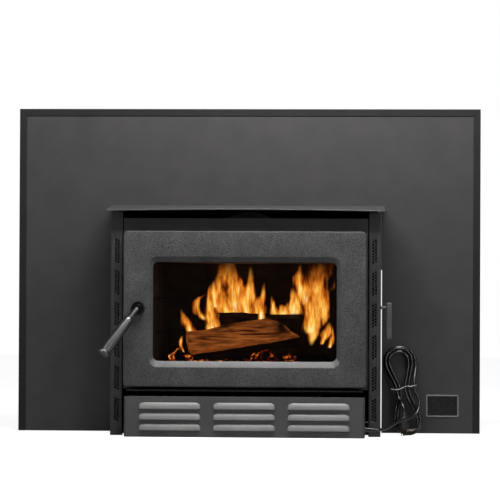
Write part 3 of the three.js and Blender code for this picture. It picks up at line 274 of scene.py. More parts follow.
def flame():
    """Flame: bright in the middle of each tongue, thinning and reddening to its edge and tip."""
    material, tree, shader = surface("wood_flame", base_color=[0, 0, 0, 1], roughness=1.0,
                                     specular_ior_level=0.0)
    place = add(tree, "ShaderNodeSeparateXYZ", {0: add(tree, "ShaderNodeTexCoord").outputs["UV"]})
    across, up = place.outputs[0], place.outputs[1]
    side = maths(tree, "ABSOLUTE", maths(tree, "SUBTRACT", maths(tree, "MULTIPLY", across, 2.0), 1.0))
    middle = maths(tree, "SUBTRACT", 1.0, side)
    streaks = grain(tree, 20, 3, (1.5, 1, 0.35))
    licks = grain(tree, 42, 2, (1, 1, 0.7))
    threads = grain(tree, 9, 3, (1.3, 1, 0.3))
    uneven = maths(tree, "SUBTRACT", maths(tree, "ADD", streaks, licks), 1.0)
    dense = maths(tree, "ADD", middle, maths(tree, "MULTIPLY", uneven, 1.5))
    body = add(tree, "ShaderNodeMapRange", {"Value": dense, "From Min": 0.16, "From Max": 0.75},
               interpolation_type="SMOOTHSTEP").outputs[0]
    tip = add(tree, "ShaderNodeMapRange", {"Value": up, "From Min": 1.0, "From Max": 0.62},
              interpolation_type="SMOOTHSTEP").outputs[0]
    foot = add(tree, "ShaderNodeMapRange", {"Value": up, "From Min": 0.0, "From Max": 0.1},
               interpolation_type="SMOOTHSTEP").outputs[0]
    thick = maths(tree, "MULTIPLY", maths(tree, "MULTIPLY", body, tip), foot)
    tree.links.new(maths(tree, "MULTIPLY", thick, 0.92), shader.inputs["Alpha"])
    core = maths(tree, "ADD", maths(tree, "MULTIPLY", dense, 0.56),
                 maths(tree, "MULTIPLY", maths(tree, "SUBTRACT", threads, 0.5), 0.9))
    heat = maths(tree, "ADD", core, maths(tree, "MULTIPLY", maths(tree, "SUBTRACT", 0.75, up), 0.3),
                 clamp=True)
    colour = ramp(tree, heat, (0.0, "#7a1c02"), (0.22, "#c9570e"), (0.44, "#f08a26"),
                  (0.68, "#ffbd4e"), (0.95, "#ffefba"))
    tree.links.new(colour, shader.inputs["Emission Color"])
    tree.links.new(vary(tree, heat, 0.1, 0.8, 0.75, 1.5, rgba=False),
                   shader.inputs["Emission Strength"])
    return material


def ember_bed_material():
    """Ash and charcoal with live coals: dark lumps, orange where they glow between them."""
    material, tree, shader = surface("ember_bed", roughness=0.95, specular_ior_level=0.1)
    lumps = grain(tree, 9, 4)
    live = grain(tree, 45, 2)
    tree.links.new(vary(tree, lumps, 0.35, 0.65, linear("#070403"), linear("#2a1c14")),
                   shader.inputs["Base Color"])
    glow = maths(tree, "MULTIPLY", lumps, live)
    tree.links.new(ramp(tree, glow, (0.24, "#000000"), (0.29, "#5e1503"), (0.35, "#e0701c"),
                        (0.43, "#ffd27a")), shader.inputs["Emission Color"])
    shader.inputs["Emission Strength"].default_value = 1.0
    tree.links.new(bump(tree, lumps, 3.0), shader.inputs["Normal"])
    return material


# The paints differ from piece to piece, so that each is as bright under these lamps as it is in the
# photograph. The window's bevel and the louvres in particular are lighter than one paint would be.
MATERIALS = {
    "body_paint": sprayed_paint("stove_paint_satin", "#3a3a3a", "#404040", 0.5, 1.2, 0.05),
    "shelf_paint": sprayed_paint("stove_paint_shelf", "#434343", "#484848", 0.38, 1.2, 0.03, 0.06, 0.5),
    "cast_paint": sprayed_paint("stove_paint_on_sand_casting", "#3f3f3f", "#4c4c4b", 0.55, 2.2, 0.8,
                                0.38, 0.4),
    # Lighter paint for the upward-facing foot of the window's bevel: a painted highlight.
    "bevel_painted_highlight": sprayed_paint("stove_paint_with_painted_highlight_on_window_bevel", "#4b4a49", "#575554", 0.38, 2.0, 0.3, 0.2,
                                 0.6),
    "panel_paint": sprayed_paint("stove_paint_on_sheet", "#3c3b3b", "#413f3f", 0.48, 0.8, 0.02, 0.05),
    "trim_paint": sprayed_paint("stove_paint_on_trim", "#161616", "#1b1b1b", 0.5, 0.8, 0.02),
    # Near black on the jacket, so that it looks dark through the columns' holes: painted shade.
    "jacket_painted_shade": sprayed_paint("stove_paint_with_painted_shade_on_jacket", "#121212", "#181818", 0.6, 1.0, 0.03),
    # Light grey over the whole deflector: a painted highlight for its rim, which is in shade under the shelf.
    "deflector_painted_highlight": sprayed_paint("stove_paint_with_painted_highlight_on_deflector", "#8f8f8e", "#9a9a99", 0.5, 1.0, 0.03),
    # Lighter than the body's paint, so the lever shows lit against the faceplate: painted light.
    "lever_painted_light": sprayed_paint("stove_paint_with_painted_light_on_lever", "#5c5c5b", "#676766", 0.4, 1.0, 0.03, 0.1, 0.5),
    # Lighter than the body's paint, to bring the low blower box up to a lit brightness: painted light.
    "box_painted_light": sprayed_paint("stove_paint_with_painted_light_on_blower_box", "#4c4c4c", "#535352", 0.5, 1.0, 0.04),
    # Far lighter than the box's paint: a painted highlight on the louvres, which face up into the lamp light.
    "louvre_painted_highlight": sprayed_paint("stove_paint_with_painted_highlight_on_louvres", "#838382", "#8e8e8d", 0.4, 1.0, 0.04, 0.06,
                                  0.5),
    "steel": bare_metal("mill_finish_steel", "#6e6f71", 0.42),
    "black_nickel": plated("black_nickel_plate", "#6a6a6a", 0.33),
    # A darker copy of the handle's plating for the boss: painted shade.
    "boss_painted_shade": plated("black_nickel_plate_with_painted_shade", "#262626", 0.33),
    "badge_silver": bare_metal("satin_aluminium_rim", "#9a9b9c", 0.35),
    "badge_black": moulded_pvc("badge_enamel_black", "#08080a", 0.25),
    "brick": fire_brick(),
    "rope": glass_rope(),
    "glass": stove_glass(),
    "cord_pvc": moulded_pvc("cord_pvc_black", "#0d0d0d", 0.22, 0.9),
    "plug_pvc": moulded_pvc("plug_pvc_grey", "#2a2a2b", 0.4),
    "tie_white": moulded_pvc("tie_paper_white", "#d9d9d4", 0.6),
    "brass": bare_metal("plug_brass", "#5f553c", 0.4),
    "log": split_log("split_log_burning", "#4a1a08", "#cd7230", 0.35, 0.47, 0.45),
    "charred_log": split_log("split_log_charred", "#0b0503", "#32150b", 0.46, 0.7, 0.25),
    "flame": flame(),
    "ember": ember_bed_material(),
}


# ---------- pieces ----------
def piece(name, bm, material, body, *stands_for, flat=False):
    """Turns a bmesh into a finished piece that rides on a body and stands for CAD nodes."""
    bmesh.ops.remove_doubles(bm, verts=bm.verts, dist=0.00002)
    bmesh.ops.recalc_face_normals(bm, faces=bm.faces)
    mesh = bpy.data.meshes.new(name)
    bm.to_mesh(mesh)
    bm.free()
    return settle(bpy.data.objects.new(name, mesh), material, body, *stands_for, flat=flat)


def settle(made, material, body, *stands_for, flat=False):
    """Links an object, gives it its material and puts it on its body."""
    if made.name not in bpy.context.scene.objects:
        bpy.context.scene.collection.objects.link(made)
    made.data.materials.clear()
    made.data.materials.append(MATERIALS[material])
    if made.type == "MESH":
        for face in made.data.polygons:
            face.use_smooth = not flat
        if not flat:
            made.data.set_sharp_from_angle(angle=math.radians(35))
    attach(made, body)
    if stands_for:
        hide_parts(*stands_for)
    return made


def rounded_edges(made, width_mm, segments=3, angle=30):
    """Breaks the hard edges of a piece, as folding, casting or dressing leaves them."""
    edge = made.modifiers.new("broken_edges", "BEVEL")
    edge.width = width_mm * MM
    edge.segments = segments
    edge.limit_method = "ANGLE"
    edge.angle_limit = math.radians(angle)
    edge.harden_normals = True
    edge.use_clamp_overlap = True
    return made


def even_shading(made):
    """Lets the large flat faces set the shading, so that only the bends look round."""
    made.modifiers.new("even_shading", "WEIGHTED_NORMAL").keep_sharp = True
    return made


def dressed(node, material, width_mm, segments=3, flat=False):
    """A finer copy of a CAD node: its flat faces joined up and its edges broken."""
    source = frame["nodes"][node]
    bm = bmesh.new()
    bm.from_mesh(source.data)
    bmesh.ops.remove_doubles(bm, verts=bm.verts, dist=0.00002)
    bmesh.ops.dissolve_limit(bm, angle_limit=math.radians(1), verts=bm.verts, edges=bm.edges)
    made = piece(node + "_dressed", bm, material, body_of(source)[0], node, flat=flat)
    return rounded_edges(made, width_mm, segments)


# ---------- mains cord ----------
CORD_MM = 7.0
HANK_TURNS = 3.5
COVER_SIDE_MM = 283.5            # outside of the blower box's side, with its clearance
RELIEF_MM = 22
RELIEF_Y, RELIEF_Z = -176, 20
HANK = {
    "x": 376,                    # centre of the waist, millimetres
    "lean": 12,                  # degrees back against the faceplate
    "tilt": 9,                   # degrees, top towards the firebox
    "pitch": 8.4,                # between neighbouring loops and between layers
    "fold": 21,                  # innermost fold radius
    "run": 146,                  # straight run between the folds
    "draw": 17,                  # how far the waist is drawn in
    "entry": 5,                  # how far outside the loops the cord comes in
    "reversal": 2,               # turns before the spiral turns outwards again
}
PLUG_AT = (376, -75)
PLUG_TOP = 56


def eased(t):
    c = min(max(t, 0), 1)
    return c * c * (3 - 2 * c)


def hank_point(turns):
    """The hank's centreline in its own plane at a number of turns: across, along, off the plane."""
    q, half, inward = 1 / 8, HANK["run"] / 2, HANK["reversal"]
    radius = (HANK["fold"] + HANK["pitch"] * abs(inward - turns)
              + HANK["entry"] * (1 - eased(turns / (2 * q))))
    f = turns - math.floor(turns + 1e-9)
    if f < q:
        u, v = radius, f / q * half
    elif f < 3 * q:
        a = (f - q) / (2 * q) * math.pi
        u, v = radius * math.cos(a), half + radius * math.sin(a)
    elif f < 5 * q:
        u, v = -radius, half - (f - 3 * q) / (2 * q) * HANK["run"]
    elif f < 7 * q:
        a = (f - 5 * q) / (2 * q) * math.pi
        u, v = -radius * math.cos(a), -half - radius * math.sin(a)
    else:
        u, v = radius, -half + (f - 7 * q) / q * half
    if abs(v) < half:
        u -= math.copysign(HANK["draw"] * math.cos(math.pi * v / HANK["run"]) ** 2, u)
    layer = (1.5 - 2 * eased(turns / q) + eased((turns - inward + q) / (2 * q))
             + eased((turns - HANK_TURNS + q) / q))
    return Vector((u, v, layer * HANK["pitch"]))


def hank_place():
    """The matrix from the hank's own plane to where it leans on the faceplate."""
    lean, tilt = math.radians(HANK["lean"]), math.radians(HANK["tilt"])
    axes = Matrix(((1, 0, 0), (0, math.sin(lean), -math.cos(lean)), (0, math.cos(lean), math.sin(lean))))
    turn = axes.to_4x4() @ Matrix.Rotation(tilt, 4, "Z")
    coarse = [turn @ hank_point(i / 24) for i in range(int(24 * HANK_TURNS) + 1)]
    shift = Vector((HANK["x"], -3 - CORD_MM / 2 - max(p.y for p in coarse),
                    0.3 + CORD_MM / 2 - min(p.z for p in coarse)))
    return Matrix.Translation(shift) @ turn


def smooth_run(points, step):
    """Centripetal Catmull-Rom points through given ones, about step apart."""
    pts = [Vector(p) for p in points]
    pts = [pts[0] * 2 - pts[1], *pts, pts[-1] * 2 - pts[-2]]
    out = []
    for p0, p1, p2, p3 in zip(pts, pts[1:], pts[2:], pts[3:]):
        t0 = 0
        t1 = t0 + (p1 - p0).length ** 0.5
        t2 = t1 + (p2 - p1).length ** 0.5
        t3 = t2 + (p3 - p2).length ** 0.5
        count = max(1, round((p2 - p1).length / step))
        for i in range(count):
            t = t1 + (t2 - t1) * i / count
            a1 = p0.lerp(p1, (t - t0) / (t1 - t0))
            a2 = p1.lerp(p2, (t - t1) / (t2 - t1))
            a3 = p2.lerp(p3, (t - t2) / (t3 - t2))
            b1 = a1.lerp(a2, (t - t0) / (t2 - t0))
            b2 = a2.lerp(a3, (t - t1) / (t3 - t1))
            out.append(b1.lerp(b2, (t - t1) / (t2 - t1)))
    return [*out, pts[-2]]


def cord_route():
    """The whole cord from the strain relief to the plug, in millimetres."""
    place = hank_place()
    per_turn = 48
    hank = [place @ hank_point(i / per_turn) for i in range(int(per_turn * HANK_TURNS) + 1)]
    start_x = COVER_SIDE_MM + RELIEF_MM
    into = (hank[1] - hank[0]).normalized()
    out_of = (hank[-1] - hank[-2]).normalized()
    lead = smooth_run([
        (start_x, RELIEF_Y, RELIEF_Z), (start_x + CORD_MM, RELIEF_Y, RELIEF_Z),
        (330, -166, 22), (346, -142, 29), (362, -115, 36), (376, -97, 40), (389, -84, 43),
        (402, -73, 50), (411, -63, 64), (412, -55, 82), (407, -48, 98),
        hank[0] - into * CORD_MM, hank[0],
    ], 5)
    tail = smooth_run([
        hank[-1], hank[-1] + out_of * CORD_MM, (365, -55, 86), (371, -66, 77),
        (*PLUG_AT, PLUG_TOP + CORD_MM), (*PLUG_AT, PLUG_TOP),
    ], 4)
    return lead[:-1] + hank + tail[1:]


def make_cord():
    route = [p * MM for p in cord_route()]
    length = sum((b - a).length for a, b in zip(route, route[1:]))
    data = bpy.data.curves.new("mains_cord", "CURVE")
    data.dimensions = "3D"
    data.bevel_depth = CORD_MM / 2 * MM
    data.bevel_resolution = 4
    data.use_fill_caps = True
    spline = data.splines.new("POLY")
    spline.points.add(len(route) - 1)
    for point, place in zip(spline.points, route):
        point.co = (*place, 1)
    spline.use_smooth = True
    made = settle(bpy.data.objects.new("mains_cord", data), "cord_pvc", "root",
                  "cord_lead", "cord_hank", "cord_tail")
    return made, length


def lathe(name, profile, material, body, *stands_for, axis=(0, 0, 1), at=(0, 0, 0), steps=40):
    """Turns a profile of (radius, distance) pairs, in millimetres, about an axis through at."""
    bm = bmesh.new()
    verts = [bm.verts.new((r * MM, 0, d * MM)) for r, d in profile]
    edges = [bm.edges.new(pair) for pair in zip(verts, verts[1:])]
    bmesh.ops.spin(bm, geom=verts + edges, cent=(0, 0, 0), axis=(0, 0, 1), angle=math.tau,
                   steps=steps, use_merge=True)
    turn = Vector((0, 0, 1)).rotation_difference(Vector(axis)).to_matrix()
    bmesh.ops.transform(bm, matrix=Matrix.Translation(Vector(at) * MM) @ turn.to_4x4(), verts=bm.verts)
    return piece(name, bm, material, body, *stands_for)


def make_plug():
    body = lathe("plug_moulding", [
        (0, 16.8), (9.5, 16.8), (11.4, 17.6), (12, 20), (12, 34), (11.2, 39), (8.2, 45), (6.4, 49),
        (6.4, 50.4), (5.4, 51), (6.1, 52), (5.1, 53), (5.6, 54), (4.9, 55), (4.4, PLUG_TOP - 0.2),
        (0, PLUG_TOP - 0.2),
    ], "plug_pvc", "root", "plug_body", at=(*PLUG_AT, 0))
    pins = dressed("plug_pins", "brass", 0.5, 2)
    return body, pins


def make_relief():
    """Ribbed, tapered strain relief on the right side of the blower box."""
    ribs = [(0, -6), (5.0, -6), (5.0, 0), (7.4, 0), (8, 0.6), (8, 2.2), (7.2, 2.9)]
    for i in range(5):
        at = 3.6 + i * 3.6
        radius = 6.4 - i * 0.35
        ribs += [(radius, at), (radius, at + 1.6), (radius - 0.9, at + 2.0), (radius - 0.9, at + 3.0)]
    ribs += [(4.6, RELIEF_MM - 0.3), (4.2, RELIEF_MM), (0, RELIEF_MM)]
    return lathe("strain_relief_ribbed", ribs, "cord_pvc", "root", "strain_relief",
                 axis=(1, 0, 0), at=(COVER_SIDE_MM, RELIEF_Y, RELIEF_Z))


def make_tie():
    """Paper-covered wire round the hank's waist, slack in front."""
    place = hank_place()
    loop = [(30, 8, 13), (18, 6, 17.5), (4, 7.5, 17.8), (-8, 3.5, 17.5), (-20, 3, 17), (-28.5, 7, 11),
            (-30, 9, 0), (-27, 9, -8), (0, 9, -9.2), (25, 9, -8.8), (31, 9, 0), (30, 8, 13)]
    points = [place @ p for p in smooth_run(loop, 3)]
    data = bpy.data.curves.new("cord_tie_wire", "CURVE")
    data.dimensions = "3D"
    data.bevel_depth = 0.9 * MM
    data.bevel_resolution = 2
    spline = data.splines.new("POLY")
    spline.points.add(len(points) - 1)
    for point, at in zip(spline.points, points):
        point.co = (*(at * MM), 1)
    spline.use_cyclic_u = True
    return settle(bpy.data.objects.new("cord_tie_wire", data), "tie_white", "root", "cord_tie")


def declare_cord():
    cord, length = make_cord()
    body, pins = make_plug()
    relief = make_relief()
    tie = make_tie()



# ---------- sheet metal: columns, shelf and blower box ----------
def mm_box(node):
    """A node's corners in millimetres."""
    low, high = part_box(node)
    return [v / MM for v in low], [v / MM for v in high]


def loop_of(bm, points):
    """A closed loop of edges through points, in millimetres."""
    verts = [bm.verts.new(Vector(p) * MM) for p in points]
    return [bm.edges.new(pair) for pair in zip(verts, verts[1:] + verts[:1])]


def ring_of(bm, centre, radius, across, up, steps=16):
    """A round loop of edges about a centre, in the plane of two directions."""
    across, up, centre = Vector(across), Vector(up), Vector(centre)
    return loop_of(bm, [
        centre + across * (radius * math.cos(i * math.tau / steps))
        + up * (radius * math.sin(i * math.tau / steps)) for i in range(steps)])


def punched(bm, outline, holes):
    """Fills an outline of edges, leaving its holes open."""
    edges = outline + [edge for hole in holes for edge in hole]
    return bmesh.ops.triangle_fill(bm, use_beauty=True, use_dissolve=False, edges=edges)


def folded(bm, edges, centre, axis, angle, steps=5):
    """Bends a sheet on from some edges, about an axis through centre. Returns the far edges."""
    made = bmesh.ops.spin(bm, geom=edges, cent=Vector(centre) * MM, axis=axis, angle=angle, steps=steps)
    return [g for g in made["geom_last"] if isinstance(g, bmesh.types.BMEdge)]


def drawn_out(bm, edges, direction):
    """Carries a sheet on from some edges in a straight line."""
    made = bmesh.ops.extrude_edge_only(bm, edges=edges)["geom"]
    moved = [g for g in made if isinstance(g, bmesh.types.BMVert)]
    bmesh.ops.translate(bm, vec=Vector(direction) * MM, verts=moved)
    return [g for g in made if isinstance(g, bmesh.types.BMEdge)]


def on_plane(edges, axis, value, tolerance=0.02):
    """Those edges that lie at a value of an axis, in millimetres."""
    return [e for e in edges if e.is_valid and all(abs(v.co[axis] / MM - value) < tolerance for v in e.verts)]


def sheet_metal(made, thickness_mm, bend_mm=0.0):
    """Gives a sheet its thickness behind its face, and breaks its cut edges when a bend is given."""
    wall = made.modifiers.new("gauge", "SOLIDIFY")
    wall.thickness = thickness_mm * MM
    wall.offset = -1
    if bend_mm:
        rounded_edges(made, bend_mm, 3)
    return even_shading(made)


COLUMN_BEND = 3.0
HOLE_R, HOLE_PITCH, HOLE_ROW_GAP = 2.7, 7, 6
HOLES_PER_ROW, HOLE_GROUPS, HOLE_LOWEST, HOLE_GROUP_PITCH = 8, 6, 37, 75


def column(node, sign):
    """One perforated column: face with two staggered rows of holes, rolled edges, side wall."""
    low, high = mm_box(node)
    outer, inner = (high[0], low[0]) if sign > 0 else (low[0], high[0])
    y, z0, z1 = low[1], low[2], high[2]
    bend = COLUMN_BEND
    bm = bmesh.new()
    a, b = inner + sign * bend, outer - sign * bend
    outline = loop_of(bm, [(a, y, z0), (b, y, z0), (b, y, z1), (a, y, z1)])
    middle = (inner + outer - sign * 2) / 2
    holes = []
    for group in range(HOLE_GROUPS):
        for row in range(2):
            for i in range(HOLES_PER_ROW):
                z = HOLE_LOWEST + group * HOLE_GROUP_PITCH + (i + row / 2) * HOLE_PITCH
                x = middle + sign * (row - 0.5) * HOLE_ROW_GAP
                holes.append(ring_of(bm, (x, y, z), HOLE_R, (1, 0, 0), (0, 0, 1)))
    punched(bm, outline, holes)
    rim = [e for e in bm.edges if e.is_boundary]
    far = folded(bm, on_plane(rim, 0, b), (b, y + bend, 0), (0, 0, sign), math.pi / 2)
    wall_edge = on_plane(far, 0, outer, 0.05)
    corners = [(outer, y + bend, z0), (outer, high[1], z0), (outer, high[1], z1), (outer, y + bend, z1)]
    if sign > 0:
        lever_low, lever_high = mm_box("damper_lever")
        rod_y, rod_z = (lever_low[1] + lever_high[1]) / 2, lever_high[2] - 12
        side = loop_of(bm, corners)
        punched(bm, side, [ring_of(bm, (outer, rod_y, rod_z), 4.4, (0, 1, 0), (0, 0, 1), 20)])
    else:
        drawn_out(bm, wall_edge, (0, high[1] - y - bend, 0))
    near = folded(bm, on_plane(rim, 0, a), (a, y + bend, 0), (0, 0, -sign), math.pi / 2)
    drawn_out(bm, on_plane(near, 0, inner, 0.05), (0, 14 - bend, 0))
    made = piece(node + "_perforated", bm, "body_paint", "root", node)
    if made.data.polygons[0].normal.y > 0:
        made.data.flip_normals()
    return sheet_metal(made, 2)


def top_shelf():
    """Folded shelf: flat at the back, sloping to a front edge that is arched across the width."""
    low, high = mm_box("top_shelf")
    bend_y, drop, arch, gauge = -50, 11, 3.5, 3
    top = high[2]
    bm = bmesh.new()
    outline = [(high[1], top), (bend_y, top), (low[1], top - drop), (low[1], top - drop - gauge),
               (bend_y, top - gauge), (high[1], top - gauge)]
    verts = [bm.verts.new(Vector((low[0], y, z)) * MM) for y, z in outline]
    end = bm.faces.new(verts)
    grown = bmesh.ops.extrude_face_region(bm, geom=[end])["geom"]
    bmesh.ops.translate(bm, vec=((high[0] - low[0]) * MM, 0, 0),
                        verts=[g for g in grown if isinstance(g, bmesh.types.BMVert)])
    across = [e for e in bm.edges if abs(e.verts[0].co.x - e.verts[1].co.x) > 0.1]
    bmesh.ops.subdivide_edges(bm, edges=across, cuts=47, use_grid_fill=True)
    for v in bm.verts:
        if v.co.y < (low[1] + 1) * MM:
            v.co.z -= arch * (v.co.x / (high[0] * MM)) ** 2 * MM
    return rounded_edges(piece("top_shelf_folded", bm, "shelf_paint", "root", "top_shelf"), 1.2, 4)


LOUVRE_W, LOUVRE_GAP, LOUVRE_H, LOUVRE_PITCH, LOUVRE_TOP, LOUVRE_OUT = 146, 29, 16, 25, 83, 7
LOUVRE_END = 17                  # how far from its end a louvre's rise takes


def louvre_places():
    return [(column * (LOUVRE_W + LOUVRE_GAP), LOUVRE_TOP - row * LOUVRE_PITCH)
            for column in (-1, 0, 1) for row in range(3)]


def blower_box():
    """Front sheet with nine slots, sides bent back round a wide radius, and lips above and below."""
    low, high = mm_box("blower_cover")
    half, back, z0, z1 = high[0], high[1], low[2], high[2]
    face, bend = low[1] + LOUVRE_OUT, 8
    bm = bmesh.new()
    flat = half - bend
    outline = loop_of(bm, [(-flat, face, z0), (flat, face, z0), (flat, face, z1), (-flat, face, z1)])
    slots = []
    for x, top in louvre_places():
        a, b, c, d = x - LOUVRE_W / 2 + 9, x + LOUVRE_W / 2 - 9, top - LOUVRE_H + 1, top - 5
        slots.append(loop_of(bm, [(a, face, c), (b, face, c), (b, face, d), (a, face, d)]))
    punched(bm, outline, slots)
    rim = [e for e in bm.edges if e.is_boundary]
    for sign in (-1, 1):
        far = folded(bm, on_plane(rim, 0, sign * flat), (sign * flat, face + bend, 0), (0, 0, sign),
                     math.pi / 2, 8)
        drawn_out(bm, on_plane(far, 0, sign * half, 0.05), (0, back - face - bend, 0))
    for z in (z0, z1):
        drawn_out(bm, on_plane(rim, 2, z), (0, 16, 0))
    # The box's lighter paint is painted light.
    made = piece("blower_box_folded", bm, "box_painted_light", "root", "blower_cover")
    front = min(made.data.polygons, key=lambda f: f.center.y)
    if front.normal.y > 0:
        made.data.flip_normals()
    return sheet_metal(made, 2, 0.5)


def louvres():
    """Pressed louvres: each rises from the sheet to an open lower lip and has rounded ends."""
    low, _ = mm_box("blower_cover")
    face = low[1] + LOUVRE_OUT
    bm = bmesh.new()
    for x, top in louvre_places():
        made = bmesh.ops.create_grid(bm, x_segments=64, y_segments=12, size=1)["verts"]
        for v in made:
            across = v.co.x * LOUVRE_W / 2
            down = (1 - v.co.y) / 2
            end = max(0, abs(across) - (LOUVRE_W / 2 - LOUVRE_END)) / LOUVRE_END
            rise = math.sqrt(max(0, 1 - end ** 2.4))
            shoulder = math.sin(min(1, down * 1.15) * math.pi / 2) ** 0.8
            z = top - LOUVRE_H * down - 9 * (1 - rise) * (1 - down)
            v.co = Vector((x + across, face + 0.6 - (LOUVRE_OUT - 0.4) * rise * shoulder, z)) * MM
    # The louvres' lighter paint is a painted highlight.
    made = piece("blower_louvres", bm, "louvre_painted_highlight", "root", "blower_cover")
    if sum(f.normal.y for f in made.data.polygons) > 0:
        made.data.flip_normals()
    return sheet_metal(made, 1.4)


# ---------- cast door and handle ----------
HANDLE_X, HANDLE_Z = -251, 303   # axis of the latch shaft, millimetres
HANDLE_CLEAR = 20                # no softened edge this near the shaft's hole
RIM_BAND = 14                    # how far in from the outside the rim's edges reach
WINDOW_SIDE = 240                # the window's own edges lie inside this


def softened(bm, picked, radius_mm, segments=4):
    """Rounds some edges of a piece."""
    bmesh.ops.bevel(bm, geom=picked, offset=radius_mm * MM, offset_type="OFFSET", segments=segments,
                    profile=0.5, affect="EDGES", clamp_overlap=False, material=-1)


def merged_copy(node):
    """A node's shape with its triangles joined into flat faces."""
    bm = bmesh.new()
    bm.from_mesh(frame["nodes"][node].data)
    bmesh.ops.remove_doubles(bm, verts=bm.verts, dist=0.00002)
    bmesh.ops.dissolve_limit(bm, angle_limit=math.radians(1), verts=bm.verts, edges=bm.edges)
    return bm


def cast_door():
    """Door casting: its outside and the window's slope are rounded as a mould leaves them."""
    low, high = mm_box("door_frame")
    bm = merged_copy("door_frame")
    reach = (high[0] - RIM_BAND, low[2] + RIM_BAND, high[2] - RIM_BAND)

    def at_rim(v):
        x, z = abs(v.co.x / MM), v.co.z / MM
        return x > reach[0] or z < reach[1] or z > reach[2]

    front = on_plane(bm.edges, 1, low[1])
    face_edges = [e for e in front if len(e.link_faces) == 2 and e.calc_face_angle(0) > 0.3]
    rim = [e for e in face_edges if all(at_rim(v) for v in e.verts)]
    softened(bm, rim, 3.2, 5)
    front = on_plane(bm.edges, 1, low[1])
    shaft = Vector((HANDLE_X, low[1], HANDLE_Z)) * MM
    window = [e for e in front if e.calc_face_angle(0) > 0.3
              and all(not at_rim(v) or abs(v.co.x / MM) < WINDOW_SIDE for v in e.verts)
              and not all((v.co - shaft).length < HANDLE_CLEAR * MM for v in e.verts)
              and not all(at_rim(v) for v in e.verts)]
    softened(bm, window, 1.2, 3)
    made = piece("door_casting", bm, "cast_paint", "door", "door_frame")
    # Upward-facing faces at the foot of the window's bevel take the lighter paint: a painted highlight.
    made.data.materials.append(MATERIALS["bevel_painted_highlight"])
    for face in made.data.polygons:
        place, facing = face.center / MM, face.normal
        if facing.z > 0.25 and facing.y < -0.2 and abs(place.x) < 236 and place.z < 200:
            face.material_index = 1
    return made


GRIP_START_Y = -203.5            # where the neck leaves the boss, millimetres
GRIP_REACH = Vector((-math.sin(math.radians(35)), -0.42, -math.cos(math.radians(35)))).normalized()


def handle():
    """Turned and plated handle: round boss, narrower neck and a long grip with a flared end."""
    # The boss takes the darker copy of the plating: painted shade.
    boss = lathe("handle_boss", [
        (6.6, 190.7), (15.2, 190.7), (16, 191.5), (16, 196.5), (15.2, 198.4), (13.6, 199),
        (9.4, 199), (9, 199.6), (9, 206.6), (7.8, 207.8), (0, 208),
    ], "boss_painted_shade", "latch", "handle_neck", axis=(0, -1, 0), at=(HANDLE_X, 0, HANDLE_Z), steps=48)
    start = Vector((HANDLE_X, GRIP_START_Y, HANDLE_Z))
    neck = lathe("handle_neck_rod", [(0, 0), (6, 0), (6, 30), (0, 30)],
                 "black_nickel", "latch", "handle_neck", axis=GRIP_REACH, at=start, steps=24)
    grip = lathe("handle_grip_turned", [
        (0, 30.3), (7.2, 30.3), (9.0, 30.9), (10.6, 32.6), (11.6, 35.5), (12, 40), (12, 128),
        (11.6, 130.6), (11.8, 132.2), (13.3, 133.2), (14.1, 135), (14.1, 138.6), (13.4, 140.2),
        (11.2, 141.0), (8.6, 141.1), (8.2, 139.6), (0, 139.6),
    ], "black_nickel", "latch", "handle_grip", axis=GRIP_REACH, at=start, steps=48)
    return boss, neck, grip


# ---------- fire bricks, logs and fire ----------
def bricked(node, across, joints, joint_mm=2.0):
    """A brick slab as single bricks; joints gives how many run along two of its axes."""
    low, high = mm_box(node)
    bm = bmesh.new()
    first, second = across
    for i in range(joints[0]):
        for k in range(joints[1]):
            a, b = list(low), list(high)
            for axis, count, n in ((first, joints[0], i), (second, joints[1], k)):
                size = (high[axis] - low[axis]) / count
                a[axis] = low[axis] + n * size + (joint_mm / 2 if n else 0)
                b[axis] = low[axis] + (n + 1) * size - (joint_mm / 2 if n < count - 1 else 0)
            made = bmesh.ops.create_cube(bm, size=1)["verts"]
            centre, size = (Vector(a) + Vector(b)) / 2, Vector(b) - Vector(a)
            for v in made:
                v.co = Vector(c + s * t for c, s, t in zip(centre, size, v.co)) * MM
    return rounded_edges(piece(node + "_laid", bm, "brick", "root", node), 2, 2)


def split_log_piece(node, seed, material):
    """A split log: its sharp edges worn off, its faces torn along the grain."""
    bm = merged_copy(node)
    bmesh.ops.triangulate(bm, faces=bm.faces)
    for _ in range(5):
        long_edges = [e for e in bm.edges if e.calc_length() > 0.011]
        if not long_edges:
            break
        bmesh.ops.subdivide_edges(bm, edges=long_edges, cuts=1, use_grid_fill=False)
        bmesh.ops.triangulate(bm, faces=bm.faces)
    for _ in range(3):
        bmesh.ops.smooth_vert(bm, verts=bm.verts, factor=0.5, use_axis_x=True, use_axis_y=True,
                              use_axis_z=True)
    bm.normal_update()
    for v in bm.verts:
        rough = noise.noise(Vector((v.co.x * 12, v.co.y * 55, v.co.z * 55 + seed)))
        knots = noise.noise(Vector((v.co.x * 18 + seed, v.co.y * 20, v.co.z * 20)))
        v.co += v.normal * (rough * 0.0035 + knots * 0.004 - 0.002)
    return piece(node + "_split", bm, material, "root", node)


